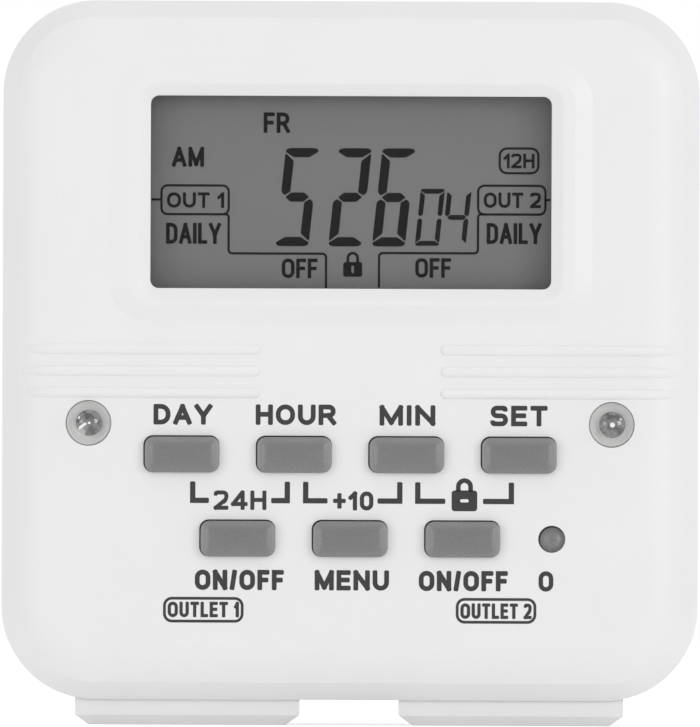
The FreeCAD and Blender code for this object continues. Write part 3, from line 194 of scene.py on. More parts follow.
def piece(name, skins, material, slot, *stands_for, body="housing"):
    """One object of several closed skins in millimetres, its faces outwards, in place of CAD nodes."""
    points, faces, start = [], [], 0
    for skin_points, skin_faces in skins:
        points.append(skin_points)
        faces += [[start + corner for corner in face] for face in skin_faces]
        start += len(skin_points)
    mesh = bpy.data.meshes.new(name)
    mesh.from_pydata(np.concatenate(points) * MM, [], faces)
    work = bmesh.new()
    work.from_mesh(mesh)
    bmesh.ops.recalc_face_normals(work, faces=work.faces)
    work.to_mesh(mesh)
    work.free()
    mesh.shade_smooth()
    mesh.set_sharp_from_angle(angle=radians(38))
    mesh.materials.append(material)
    made = placed(name, mesh)
    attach(made, body)
    if stands_for:
        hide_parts(*stands_for)
    return made


def box_of(name):
    """The low and the high corner of a CAD node, in millimetres."""
    return [np.array(corner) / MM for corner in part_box(name)]


def facing(low, high):
    """The x and the z of a box's middle, and the depth of its front before the wall."""
    return (low[0] + high[0]) / 2, (low[2] + high[2]) / 2, -low[1]


def circle(turn):
    """Points (cos, sin) of a circle of radius one."""
    return np.stack([np.cos(turn), np.sin(turn)], -1)


def stand(flat, depth):
    """Points (x, z) at a depth before the wall."""
    return np.insert(np.array(flat, float), 1, -depth, -1)


def rounded_loop(x, z, wide, high, corner, depth):
    """A rounded rectangle about (x, z) at a depth before the wall, as a loop of 32 points."""
    side = np.repeat([[1, 1], [-1, 1], [-1, -1], [1, -1]], 8, axis=0)
    flat = side * [wide / 2 - corner, high / 2 - corner] + corner * circle(QUARTERS)
    return stand(flat + [x, z], depth)


def inset_loops(x, z, wide, high, corner, profile):
    """Loops of a rounded rectangle that shrinks evenly: each (inset, depth) of the profile is one."""
    return np.stack([
        rounded_loop(x, z, wide - 2 * inset, high - 2 * inset, max(corner - inset, 0.2), depth)
        for inset, depth in profile
    ])


def key_profile(top):
    """A key from its flange forward: flange, cap wall, a rim rounded as a quarter circle, then a
    border that falls from the flat middle as drop = CROWN * (1 - inset / BORDER) ** 2."""
    profile = [(0.9, FLANGE - 0.8), (-LIP, FLANGE - 0.8), (-LIP, FLANGE), (0, FLANGE)]
    for angle in np.radians(np.linspace(0, 75, 6)):
        profile.append((RIM * (1 - cos(angle)), top - CROWN - RIM * (1 - sin(angle))))
    for inset in np.linspace(RIM, BORDER, 9)[1:]:
        share = 1 - (inset - RIM) / (BORDER - RIM)
        profile.append((inset, top - CROWN * share ** 2))
    return profile


# The grey is painted a shade paler round the rim, and most at a key's ends: a painted highlight for the
# bright surroundings that the sloping rim reflects, with a little random tone on top.
key_grey, start = new_material("key grey")
fine = noise(start, 0.22)
painted_rim_highlight = start.node("Attribute", {"attribute_name": "rim"}, output=2) + 0.1 * noise(start, 2)
colour = tint(start, painted_rim_highlight, 0.168, 0.262)
principled(start, colour, 0.24 + 0.06 * fine, Normal=bump(start, fine, 0.005))
LIP, CROWN, RIM, BORDER = 0.9, 0.5, 0.22, 1.45
FLANGE = 35.8
HANG = 0.085
QUARTERS = np.radians(np.arange(4)[:, None] * 90 + np.linspace(0, 90, 8)[None]).ravel()
ends = 0.45 + 0.6 * np.abs(np.cos(QUARTERS))
for key in [name for name in nodes if name.endswith("_key")]:
    low, high = box_of(key)
    x, z, top = facing(low, high)
    place = x + HANG, z - HANG
    wide, _, tall = high - low - 2 * LIP
    profile = key_profile(top)
    cap = inset_loops(*place, wide, tall, wide / 2 if key == "reset_key" else 1.15, profile)
    stem = inset_loops(*place, 2.2, 2.2, 0.2, [(0, -high[1]), (0, FLANGE - 0.7)])
    skins = [closed_skin(cap), capped(stem)]
    made = piece(f"{key}_cap", skins, key_grey, "key_grey", key, body=f"{key[:-4]}_button")
    # The rim attribute carries the painted highlight: 0 on the flat middle, up to 1 at the edge, strongest
    # at the ends.
    share = np.clip(1 - np.array(profile)[1:-1, 0] / BORDER, 0, 1)
    rim = np.zeros(len(made.data.vertices))
    rim[1:1 + 32 * len(share)] = np.outer(share, ends).ravel()
    made.data.attributes.new("rim", "FLOAT", "POINT").data.foreach_set("value", rim)


# Display window
# A clear polished acrylic pane, pressed into the bezel from behind and flush with its floor. Nearly
# all light goes straight on through it, and the rest glances off its gloss.
window_clear, start = new_material("window clear")
haze = noise(start, 8)
principled(start, tint(start, haze, 0.02, 0.0204), 0.02 + 0.03 * haze, Alpha=0.06)
dress(window_clear, "display_window")


# Liquid crystal glass
# Two thin glass plates with a grey polariser in front. The dark marks are thin printed-looking
# segments: digits of seven mitred bars that lean to the right, words, boxes and frame lines.
def mark_finish(name, colour, rough):
    """Thin marks: a matt ink or a switched crystal, a shade uneven."""
    made, start = new_material(name)
    fine = noise(start, 0.15)
    principled(start, tint(start, fine, colour, 1.15 * np.array(colour)), rough + 0.1 * fine, 0.1)
    return made


INK = 0.02
LINE = 0.3
LEAN = radians(6)


def unit(steps):
    """Vectors, along the last axis, at a length of one."""
    return steps / np.linalg.norm(steps, axis=-1, keepdims=True)


def ring_skin(loops):
    """Points and faces of a surface that closes both ways, as a ring does: the last loop meets the
    first."""
    rows = np.stack(loops)
    count, across = rows.shape[:2]
    here = np.arange(count * across).reshape(count, across)
    beside, below = np.roll(here, -1, axis=1), np.roll(here, -1, axis=0)
    quads = np.stack([here, beside, np.roll(below, -1, axis=1), below], -1)
    return rows.reshape(-1, 3), quads.reshape(-1, 4).tolist()


def plate(outline, depth, thick=INK):
    """A flat plate with an outline of (x, z) points, standing on a depth and reaching forward."""
    count = len(outline)
    back = stand(outline, depth)
    here = np.arange(count)
    beside = np.roll(here, -1)
    sides = np.stack([here, beside, beside + count, here + count], -1).tolist()
    ends = [here[::-1].tolist(), (here + count).tolist()]
    return np.vstack([back, back - [0, thick, 0]]), sides + ends


def stroke(points, wide, depth, thick=INK, blunt=0.5):
    """A flat line of even width along (x, z) points, mitred at its corners. Its ends are rounded by
    a quarter circle at each side, of a radius that is a share of the width: 0.5 makes round ends."""
    path, radius = np.array(points, float), blunt * wide
    turn = np.radians(np.linspace(0, 90, 6))
    run = radius * (1 - np.cos(turn))[:, None]
    swell = wide / 2 - radius + radius * np.sin(turn) + 1e-4
    first, last = unit(path[1] - path[0]), unit(path[-1] - path[-2])
    body = path[1:-1]
    path = np.vstack([path[0] + first * run, body, path[-1] - last * run[::-1]])
    widths = np.concatenate([swell, np.full(len(body), wide / 2), swell[::-1]])
    steps = unit(np.diff(path, axis=0))
    before, after = np.vstack([steps[:1], steps]), np.vstack([steps, steps[-1:]])
    along = unit(before + after)
    mitred = widths / np.sum(along * after, axis=1)
    out = along[:, ::-1] * [-1, 1] * mitred[:, None]
    edges = [(path + out, 0), (path - out, 0), (path - out, thick), (path + out, thick)]
    return capped(np.stack([stand(edge, depth + up) for edge, up in edges], axis=1))


def box_line(x, z, wide, high, corner, line, depth, thick=INK):
    """The outline of a rounded box, as a closed ring with a rectangular section."""
    half = line / 2
    return ring_skin([
        rounded_loop(x, z, wide + 2 * grow, high + 2 * grow, corner + grow, depth + up)
        for grow, up in ((half, 0), (-half, 0), (-half, thick), (half, thick))
    ])


def arc_path(points, radius):
    """A line through points with its inner corners rounded, by no more than half a side."""
    points = [np.array(point, float) for point in points]
    path = [points[0]]
    for before, corner, after in zip(points, points[1:], points[2:]):
        back, forward = before - corner, after - corner
        reach = min(radius, 0.49 * np.linalg.norm(back), 0.49 * np.linalg.norm(forward))
        for angle in np.radians(np.linspace(0, 90, 7)):
            bend = unit(back) * (1 - sin(angle)) + unit(forward) * (1 - cos(angle))
            path.append(corner + reach * bend)
    return path + [points[-1]]


GLYPHS = {
    "A": (0.78, 0, (0, 0, 0.5, 1), (1, 0, 0.5, 1), (0.17, 0.3, 0.83, 0.3)),
    "D": (0.72, 0.42, (0, 0, 0, 1), (0, 1, 1, 1, 1, 0, 0, 0)),
    "E": (0.62, 0, (1, 1, 0, 1, 0, 0, 1, 0), (0, 0.52, 0.9, 0.52)),
    "F": (0.6, 0, (1, 1, 0, 1, 0, 0), (0, 0.5, 0.85, 0.5)),
    "H": (0.7, 0, (0, 0, 0, 1), (1, 0, 1, 1), (0, 0.52, 1, 0.52)),
    "I": (0.2, 0, (0.5, 0, 0.5, 1)),
    "L": (0.58, 0, (0, 1, 0, 0, 1, 0)),
    "M": (0.84, 0, (0, 0, 0, 1), (0, 1, 0.5, 0.05), (1, 1, 0.5, 0.05), (1, 0, 1, 1)),
    "N": (0.72, 0, (0, 0, 0, 1), (0, 1, 1, 0), (1, 0, 1, 1)),
    "O": (0.78, 0.36, ()),
    "R": (0.72, 0.27, (0, 0, 0, 1), (0, 1, 0.95, 1, 0.95, 0.46, 0, 0.46), (0.55, 0.46, 1, 0)),
    "S": (0.68, 0.27, (0.97, 0.93, 0.97, 1, 0.03, 1, 0.03, 0.52, 1, 0.5, 1, 0, 0, 0, 0, 0.07)),
    "T": (0.66, 0, (0, 1, 1, 1), (0.5, 1, 0.5, 0)),
    "U": (0.72, 0.5, (0, 1, 0, 0, 1, 0, 1, 1)),
    "Y": (0.76, 0, (0, 1, 0.5, 0.42), (1, 1, 0.5, 0.42), (0.5, 0.5, 0.5, 0)),
    "0": (0.6, 0.34, ()),
    "1": (0.38, 0, (1, 0, 1, 1), (1, 1, 0, 0.72)),
    "2": (0.64, 0.3, (0, 0.92, 0, 1, 1, 1, 1, 0.58, 0.8, 0.42), (0.86, 0.5, 0, 0), (0, 0, 1, 0)),
    "4": (0.72, 0, (0.76, 0, 0.76, 1), (0.72, 1, 0, 0.25), (0, 0.25, 1, 0.25)),
    "/": (0.36, 0, (0, 0, 1, 1)),
    "+": (0.56, 0, (0.5, 0.12, 0.5, 0.88), (0, 0.5, 1, 0.5)),
    " ": (0.22, 0),
}


def words_of(text, x, z, wide, high, weight, depth, blunt=0.28, gap=0.12):
    """Plain capitals of strokes, fitted to a width about (x, z). A glyph is its width, how round its
    corners are and its strokes: points across and up its box, or none for a ring. Each stroke runs
    on past its ends by half its weight."""
    sizes = np.array([GLYPHS[sign][0] for sign in text])
    sizes *= wide / (sizes.sum() + gap * (len(text) - 1))
    space = gap * sizes[0] / GLYPHS[text[0]][0]
    left = x - wide / 2
    parts = []
    for sign, size in zip(text, sizes):
        inner = max(size - weight, 0)
        _, bend, *strokes = GLYPHS[sign]
        for flat in strokes:
            if not flat:
                corner = min(bend * high, 0.49 * inner)
                parts.append(box_line(left + size / 2, z, inner, high - weight, corner, weight, depth))
                continue
            spots = np.array(flat, float).reshape(-1, 2) * [inner, high - weight]
            spots += [left + (size - inner) / 2, z - (high - weight) / 2]
            for end, beside in ((0, 1), (-1, -2)):
                spots[end] += 0.5 * weight * unit(spots[end] - spots[beside])
            if bend:
                spots = arc_path(spots, bend * high)
            parts.append(stroke(spots, weight, depth, INK + 0.001 * (len(parts) % 7), blunt))
        left += size + space
    return parts


SEGMENTS = {"0": "abcdef", "2": "abged", "4": "fgbc", "5": "afgcd", "6": "afgedc"}


def digit(sign, x, z, wide, high, bar):
    """A seven-bar digit about (x, z): bars with mitred ends, their outer corners cut, sheared so
    that a point moves right by its height times the tangent of the lean."""
    right, top = wide / 2, high / 2
    end = np.array([(0.95, -1), (0, -0.4), (0.12, -0.13), (0.5, 0)]) * bar + [-right, top]
    across = np.vstack([end, end[::-1] * [-1, 1]])
    upright = np.array([(-1, -1.4), (-0.1, -0.6), (0, -0.72)]) * bar + [right, top]
    foot = np.array([(0, 0.66), (-0.14, 0.42), (-0.41, 0.2), (-0.98, 0.56)]) * bar + [right, 0]
    upright = np.vstack([upright, foot])
    point = np.array([(1.08, -0.5), (0.5, 0), (1.08, 0.5)]) * bar + [-right, 0]
    shapes = {
        "a": across, "b": upright, "c": upright * [1, -1], "d": across * [1, -1],
        "e": upright * [-1, -1], "f": upright * [-1, 1], "g": np.vstack([point, -point]),
    }
    shear = [[1, 0], [tan(LEAN), 1]]
    return [plate(shapes[name] @ shear + [x, z], glass) for name in SEGMENTS[sign]]


polariser, start = new_material("liquid crystal grey")
grey = tint(start, noise(start, 20), (0.235, 0.236, 0.236), (0.247, 0.248, 0.248))
principled(start, grey, 0.5 + 0.1 * noise(start, 0.2), 0.15)
dress(polariser, "lcd_panel")
glass = -box_of("lcd_panel")[0][1]
window_x, window_z, _ = facing(*box_of("display_window"))
lcd_black = mark_finish("liquid crystal marks", 0.012, 0.6)


def on_glass(x, z):
    """A place on the glass, right of and above the window's middle."""
    return window_x + x, window_z + z


marks = []
for sign, x in (("5", -6.96), ("2", -0.13), ("6", 5.51)):
    marks += digit(sign, *on_glass(x, -0.61), 4.29, 12.7, 1.2)
for sign, x in (("0", 10.2), ("4", 13.66)):
    marks += digit(sign, *on_glass(x, -3.16), 3.13, 7.38, 0.64)
piece("lcd_digits", marks, lcd_black, "lcd_glass")

words = []
for text, x, z, *sizes in (
    ("FR", -9.64, 9, 3.4, 2.65, 0.5),
    ("AM", -21.1, 4.54, 4.15, 2.55, 0.5),
    ("12H", 21.7, 4.17, 4, 1.9, 0.36),
    ("OUT 1", -20.1, -1.05, 7.4, 2, 0.4),
    ("OUT 2", 20.85, -0.92, 7.4, 2, 0.4),
    ("DAILY", -20.35, -5.35, 7.1, 2.7, 0.48),
    ("DAILY", 21.1, -5.22, 7.1, 2.7, 0.48),
    ("OFF", -6.61, -9.82, 4.64, 2.53, 0.46),
    ("OFF", 10.65, -9.7, 4.64, 2.53, 0.46),
):
    words += words_of(text, *on_glass(x, z), *sizes, glass, 0.08, 0.1)
piece("lcd_words", words, lcd_black, "lcd_glass")

lines = []
for side, middle, foot, drop in ((-1, -20.16, -3.2, 0.12), (1, 20.78, 3.65, 0)):
    lines.append(box_line(*on_glass(middle, -0.9 - drop), 8.7, 3.72, 0.8, LINE, glass))
    inner, outer = middle - side * 4.35, middle + side * 4.35
    route = [(inner + side * 0.75, -2.76), (inner, -2.76), (inner, -7.8), (foot, -7.8), (foot, -12.28)]
    route = [on_glass(across, up - drop) for across, up in route]
    stub = [on_glass(across, -0.87 - drop) for across in (outer, side * 25.8)]
    lines += [stroke(path, LINE, glass, blunt=0.02) for path in (arc_path(route, 0.5), stub)]
lines.append(box_line(*on_glass(21.7, 4.18), 5, 3.2, 0.95, LINE, glass))
piece("lcd_lines", lines, lcd_black, "lcd_glass")


def padlock(x, z, wide, high, rise, line, hole, depth):
    """A padlock sign: a round-cornered body about (x, z) with a keyhole, and a bow that rises over it."""
    body, keyhole = (wide, high, 0.12 * wide), (*hole, 0.45 * min(hole))
    levels = ((body, 0), (keyhole, 0), (keyhole, INK), (body, INK))
    radius = 0.33 * wide - line / 2
    shoulder = z + high / 2 + rise - line / 2 - radius
    bow = [x, shoulder] + radius * circle(np.radians(np.linspace(0, 180, 17)))
    feet = [(x + side * radius, z + 0.45 * high) for side in (1, -1)]
    path = np.vstack([feet[:1], bow, feet[1:]])
    skin = ring_skin([rounded_loop(x, z, *size, depth + up) for size, up in levels])
    return [skin, stroke(path, line, depth, blunt=0.02)]


lock = padlock(*on_glass(0.25, -9.93), 2.46, 1.9, 1.33, 0.36, (0.34, 0.95), glass)
piece("lcd_padlock", lock, lcd_black, "lcd_glass")


# Printed legends
# Dark grey ink, pad-printed on the face: key names, brackets, a padlock sign and outlet numbers. It
# lies a fiftieth of a millimetre thick on the satin plastic.
print_grey = mark_finish("print grey", (0.055, 0.055, 0.057), 0.55)
FACE = 38
legends = []
for text, x, z, *sizes in (
    ("DAY", -21.6, -16.3, 7.6, 2.65, 0.62),
    ("HOUR", -7, -16.3, 10.4, 2.65, 0.62),
    ("MIN", 7.4, -16.33, 7.2, 2.65, 0.62),
    ("SET", 21.8, -16.35, 7.4, 2.65, 0.62),
    ("24H", -14.18, -27.36, 6.8, 2.5, 0.52),
    ("+10", 0.44, -27.4, 5.2, 2.45, 0.55),
    ("ON/OFF", -14.23, -37.66, 11.5, 2.62, 0.62),
    ("MENU", 0.3, -37.66, 9.6, 2.62, 0.62),
    ("ON/OFF", 14.7, -37.7, 11.5, 2.62, 0.62),
    ("0", 25.37, -37.7, 1.9, 2.62, 0.58),
    ("OUTLET 1", -18.87, -41.5, 9.2, 2, 0.42),
    ("OUTLET 2", 18.94, -41.57, 9.2, 2, 0.42),
):
    legends += words_of(text, x, z, *sizes, FACE)
piece("printed_words", legends, print_grey, "housing_white")

signs = []
for post, foot in (
    (-20.3, -18.2), (-8.08, -10.16), (-5.71, -2.88), (6.45, 3.57), (8.77, 12.33), (20.86, 17.2)
):
    signs.append(stroke([(post, -24.95), (post, -27.4), (foot, -27.4)], 0.69, FACE, blunt=0.25))
signs += [box_line(x, -41.53, 10.04, 2.95, 0.95, 0.36, FACE) for x in (-18.87, 18.94)]
signs += padlock(14.8, -27.33, 3.31, 2.69, 1.57, 0.6, (1.1, 0.42), FACE)
piece("printed_signs", signs, print_grey, "housing_white")


# Indicator lamps
# Clear epoxy domes cast round a lead frame: an anvil with a bright cup that holds the die, and a hair of
# wire. The anvil is drawn dark, a painted reflection, and bright strips on it are painted glints. Through
# the domes the white collar shows that holds each up to the face.
def metal(name, colour, rough, grain=0.3, stretch=(1, 1, 1)):
    """Bare metal: drawn or rolled grain in gloss and relief, and a slow tarnish in its colour."""
    made, start = new_material(name)
    grains = noise(start, grain, 3, stretch)
    colour = tint(start, noise(start, 4, 3), 0.86 * np.array(colour), colour)
    relief = bump(start, grains, 0.003)
    principled(start, colour, rough - 0.06 + 0.16 * grains, Metallic=1, Normal=relief)
    return made


def turned(profile, place, way=-1, axis="y", facets=40):
    """A body turned about an axis through a place: each (radius, along) of the profile is one loop,
    with along counted from the place, forwards along the axis (way 1) or backwards (-1)."""
    radius, along = (np.array(column, float)[:, None] for column in zip(*profile))
    turn = np.arange(facets) * 2 * pi / facets
    u, v, w = radius * np.cos(turn), radius * np.sin(turn), way * along + 0 * turn
    order = (w, u, v) if axis == "x" else (v, w, u)
    return closed_skin(np.stack(order, -1) + place)


def frame_outline(x, z, notch):
    """The cup end of a lead frame from the front: r = 1.7, but 0.6 of it inside the notch."""
    turn = np.arange(0, 360, 4)
    reach = np.where((turn > notch[0]) & (turn < notch[1]), 0.6, 1) * 1.7
    return [x, z] + reach[:, None] * circle(np.radians(turn))


# Through the epoxy most light goes straight on, and about a tenth glances off its polished skin.
lamp_clear, start = new_material("lamp clear")
ripple = noise(start, 1.2)
clear = start.node("BsdfTransparent", inputs={"Color": (0.985, 0.985, 0.985, 1)})
gloss = {"Base Color": tint(start, ripple, 0.93, 0.96), "Metallic": 1, "Roughness": 0.03 + 0.03 * ripple}
skin = start.node("BsdfPrincipled", inputs=gloss)
mixed = start.node("MixShader", inputs={0: 0.07 + 0.05 * ripple, 1: clear, 2: skin})
start.node("OutputMaterial", inputs={"Surface": mixed})
# The lead frame is drawn dark in blotches, a painted reflection that stands for the dark its plated metal
# mirrors through the dome: share = 4 * noise - 1.5, held between 0 and 1.
lead_painted_dark, start = new_material("lead frame")
painted_reflection_blotch = start.maths("MULTIPLY_ADD", noise(start, 0.8, 3), 4, -1.5)
painted_reflection_blotch = start.maths("MINIMUM", start.maths("MAXIMUM", painted_reflection_blotch, 0), 1)
principled(start, tint(start, painted_reflection_blotch, 0.03, 0.2), 0.45 + 0.1 * painted_reflection_blotch, 0.2)
lead_bright = metal("lead frame cup", 0.85, 0.3)
BARREL = 2.5
# Each lamp: the die's size, the notch in the anvil, and bright strips (points, width) on the anvil that are
# painted glints; the long left one also stands for the wire.
LAMPS = {
    "left": (0.16, (208, 250), [
        ([(-0.35, -0.05), (-0.75, -0.3), (-1.3, -0.75)], 0.36), ([(-1.22, 0.85), (-1.35, 0.5)], 0.2)
    ]),
    "right": (0.33, (0, 0), [([(1, 0.85), (1.2, 0.62)], 0.16)]),
}
for side, (size, notch, marks) in LAMPS.items():
    low, high = box_of(f"{side}_lamp")
    x, z, front = facing(low, high)
    back, flange = -high[1], (high[0] - low[0]) / 2
    shell = [(0, 0.04), (flange - 0.1, 0.04), (flange, 0.14), (flange, 1.5), (flange - 0.1, 1.6)]
    shell.append((BARREL, 1.62))
    turn = np.radians(np.linspace(0, 90, 25))
    shell += [(BARREL * cos(a), front - back - BARREL * (1 - sin(a))) for a in turn]
    dome = turned(shell, (x, -back, z), facets=96)
    piece(f"{side}_lamp_dome", [dome], lamp_clear, "lamp_clear", f"{side}_lamp")
    x += 0.06
    level = back + 0.75
    anvil = plate(frame_outline(x, z, notch), level - 0.3, 0.3)
    piece(f"{side}_lamp_lead_frame", [anvil], lead_painted_dark, "lamp_clear")
    cup = [(0, 0), (size, 0), (size, 0.03), (0.6 * size, 0.06), (0, 0.06)]
    skins = [turned(cup, (x + 0.03, -level, z), facets=24)]
    # Bright metal strips: painted glints, the long one also the wire.
    for spots, wide in marks:
        skins.append(stroke(np.array(spots) + [x, z], wide, level, 0.05, 0.45))
    piece(f"{side}_lamp_cup_wire_and_glints", skins, lead_bright, "lamp_clear")


# Plug
# Two flat brass blades with chamfered tips and a round earth pin, polished by use along their length.
brass = metal("blade brass", (0.83, 0.66, 0.36), 0.24, 0.12, (1, 14, 1))
dress(brass, "line_blade", "neutral_blade", "earth_pin")


# Screws
# Zinc-plated pan heads with a cross recess, and a rolled thread that cuts its own way into the bosses:
# in the housing from behind, in both boards and in the plate that clamps the plug.
def islands(name):
    """The low and the high corner, in millimetres, of each separate solid in a CAD node: corners that
    an edge joins take the lower mark of the two until no mark changes."""
    mesh = nodes[name].data
    spots = np.empty(3 * len(mesh.vertices))
    mesh.vertices.foreach_get("co", spots)
    spots = spots.reshape(-1, 3) / MM
    _, same = np.unique(spots.round(4), axis=0, return_inverse=True)
    ends = np.empty(2 * len(mesh.edges), np.int32)
    mesh.edges.foreach_get("vertices", ends)
    ends = same.ravel()[ends.reshape(-1, 2)]
    mark = np.arange(same.max() + 1)
    while True:
        least = mark.copy()
        np.minimum.at(least, ends[:, 0], mark[ends[:, 1]])
        np.minimum.at(least, ends[:, 1], mark[ends[:, 0]])
        if (least == mark).all():
            break
        mark = least
    mark = mark[same.ravel()]
    return [(spots[mark == one].min(0), spots[mark == one].max(0)) for one in np.unique(mark)]


def screw(low, high, head_tall, shank, pitch, way):
    """A screw with its head at the back (way 1) or in front (-1). Its thread is r = shank * (1 -
    0.24 * |2 * frac(turn / 2 pi + t / pitch) - 1|); its head is half an ellipse less a cross."""
    x, z, _ = facing(low, high)
    head = (high[0] - low[0]) / 2
    top, tip = (-high[1], -low[1]) if way > 0 else (-low[1], -high[1])
    seat = top + way * head_tall
    length = abs(tip - seat)
    turn = np.arange(48) * 2 * pi / 48
    t = np.linspace(0, length, int(8 * length / pitch))[:, None]
    saw = np.abs(2 * ((turn / (2 * pi) + t / pitch) % 1) - 1)
    grip = shank * np.minimum(1, 0.2 + t / (1.5 * pitch)) * (1 - 0.24 * saw)
    share = np.linspace(1, 0, 17)[:, None]
    across, up = share * np.abs(np.cos(turn)), share * np.abs(np.sin(turn))
    far = np.maximum(across, up)
    cross = (np.minimum(across, up) < 0.13) & (far < 0.55)
    dome = head_tall * (0.45 + 0.55 * np.sqrt(1 - share ** 2) - 0.5 * cross * (1.2 - far))
    radius = np.vstack([grip, np.full((1, 48), head), head * share + 0 * turn])
    depth = np.vstack([tip - way * t + 0 * turn, np.full((1, 48), seat), seat - way * dome])
    rows = np.stack([x + radius * np.cos(turn), -depth, z + radius * np.sin(turn)], -1)
    return closed_skin(np.vstack([rows[:1], rows]))


screw_steel = metal("screw steel", (0.66, 0.66, 0.68), 0.3, 0.2)
for name, *sizes in (
    ("housing_screws", 2, 1.4, 1.1, 1),
    ("control_board_screws", 1.6, 1, 0.8, 1),
    ("power_board_screws", 1.6, 1, 0.8, -1),
    ("clamp_screws", 1.6, 1, 0.8, -1),
):
    skins = [screw(*box, *sizes) for box in islands(name)]
    piece(f"{name}_threaded", skins, screw_steel, "screw_steel", name)


# Contacts and carriers
# Hairpins, buses and sleeves bent from phosphor-bronze strip, so their grain runs along the strip; the
# carriers that hold them and the plate over the plug are moulded in natural nylon.
brass = metal("contact brass", (0.8, 0.62, 0.32), 0.32, 0.3, (1, 1, 6))
dress(brass, "left_line_contact", "right_line_contact", "neutral_bus", "earth_bus")
nylon = moulded("clamp nylon", (0.72, 0.7, 0.62), 0.5, 0.5)
dress(nylon, "blade_clamp", "left_contact_carrier", "right_contact_carrier")


# Display holder and strips
# A white moulded frame holds the glass to the board. Between them two rubber strips of black carbon and
# clear layers, a quarter of a millimetre each, carry the signals.
frame_white = moulded("frame white", (0.8, 0.8, 0.78), 0.45)
dress(frame_white, "lcd_frame")
rubber, start = new_material("zebra rubber")
along = start.node("SeparateXYZ", inputs={"Vector": place_of(start, 1 / 0.5)})
layer = start.maths("GREATER_THAN", start.maths("FRACT", along), 0.5)
principled(start, tint(start, layer, (0.42, 0.42, 0.4), 0.02), 0.55 + 0.1 * noise(start, 0.8))
dress(rubber, "zebra_strips")


# Lamp spacers
# White nylon collars that hold the lamps up to the face: a waist between two rims, chamfered.
collar = [(0, 30.4), (2.6, 30.4), (2.87, 30.7), (2.87, 31.8), (2.5, 32.2), (2.5, 35.2), (2.87, 35.6)]
collar += [(2.87, 36.3), (0, 36.3)]
spots = [facing(*box) for box in islands("lamp_spacers")]
skins = [turned(collar, (x, 0, z)) for x, z, _ in spots]
piece("lamp_collars", skins, frame_white, "frame_white", "lamp_spacers")


# Switches
# Square tactile switches: a black base, a steel cover plate held by four hot-staked pips, and a round
# plunger with a softened rim that travels with its key.
switch_black = moulded("switch black", 0.02, 0.5)
dress(switch_black, "tactile_switches")
cover_steel = metal("switch cover steel", 0.7, 0.28, 0.2, (6, 1, 1))
COVER = ((5.8, 0.3, 0), (3.9, 1.9, 0), (3.9, 1.9, 0.1), (5.8, 0.3, 0.1))
pip = [(0, 0), (0.42, 0), (0.4, 0.16), (0.25, 0.24), (0, 0.26)]
covers, pips = [], []
for box in islands("tactile_switches"):
    x, z, top = facing(*box)
    covers.append(ring_skin([rounded_loop(x, z, wide, wide, bend, top + up) for wide, bend, up in COVER]))
    pips += [turned(pip, (x + u, -top, z + v), facets=12) for u in (-2.3, 2.3) for v in (-2.3, 2.3)]
piece("switch_covers", covers, cover_steel, "switch_black")
piece("switch_pips", pips, switch_black, "switch_black")
plunger_black = moulded("plunger black", 0.035, 0.4)
rim = [(0, 0), (1.65, 0), (1.65, 0.9), (1.58, 1), (1.58, 1.85), (1.5, 2.03), (1.3, 2.1), (0, 2.1)]
for name in [name for name in nodes if name.endswith("_switch_plunger")]:
    low, high = box_of(name)
    x, z, _ = facing(low, high)
    body = name.replace("_switch_plunger", "_button")
    piece(f"{name}_turned", [turned(rim, (x, high[1], z))], plunger_black, "plunger_black", name, body=body)


# Relays
# Sealed mains relays in a near-black nylon: a case with rounded edges and a raised panel, on a base
# that overhangs it slightly, with a vent pip that is cut off after washing.
def block(low, high, corner, edge, way=1):
    """A moulded box: its upright edges have a corner radius, and its top, in front (way 1) or at the
    back (-1), a rim rounded as a quarter circle of radius edge."""
    x, z, front = facing(low, high)
    foot, top = (-high[1], front) if way > 0 else (front, -high[1])
    profile = [(0, foot)]
    for angle in np.radians(np.linspace(0, 90, 6)):
        profile.append((edge * (1 - cos(angle)), top - way * edge * (1 - sin(angle))))
    return capped(inset_loops(x, z, high[0] - low[0], high[2] - low[2], corner, profile))


relay_black = moulded("relay black", (0.02, 0.022, 0.026), 0.38)
for name in ("left_relay", "right_relay"):
    low, high = box_of(name)
    x, z, top = facing(low, high)
    skins = [
        block([low[0], high[1] - 1, low[2]], high, 0.6, 0.15),
        block(low + [0.2, 0.12, 0.2], high - [0.2, 0, 0.2], 0.9, 0.5),
        box_line(x, z, 16.6, 13, 1, 0.5, top - 0.2, 0.2),
        turned([(0, -0.2), (0.7, -0.2), (0.6, 0), (0, 0)], (x + 6, -top, z + 4)),
    ]
    piece(f"{name}_case", skins, relay_black, "relay_black", name)


# Capacitors
# The mains dropper is a film capacitor in a yellow box with a panel line. The smoother is an aluminium
# can in a dark sleeve, pinched above its bung, with a pale stripe and three vent scores on its top.
low, high = box_of("dropper_capacitor")
x, z, top = facing(low, high)
skins = [block(low + [0, 0.1, 0], high, 0.5, 0.35), box_line(x, z, 15.8, 6.3, 0.5, 0.3, top - 0.15, 0.15)]
yellow = moulded("capacitor yellow", (0.75, 0.55, 0.06), 0.32)
piece("dropper_capacitor_box", skins, yellow, "capacitor_yellow", "dropper_capacitor")
x, z, top = facing(*box_of("smoothing_capacitor"))
can = [(0, 16), (4.6, 16), (4.85, 15.8), (5, 15.4), (5, 13.6), (4.75, 13.3), (4.75, 12.9), (5, 12.5)]
can += [(5, 0.6), (4.85, 0.15), (4.5, 0), (4.05, 0.02), (4, 0.2), (0, 0.2)]
skins = [turned(can, (x, -top, z), 1, facets=48)]
sleeve, start = new_material("capacitor sleeve")
along = start.node("SeparateXYZ", inputs={"Vector": place_of(start, 1)})
stripe = start.maths("GREATER_THAN", along, x + 4.1)
colour = tint(start, stripe, (0.025, 0.03, 0.06), (0.6, 0.6, 0.58))
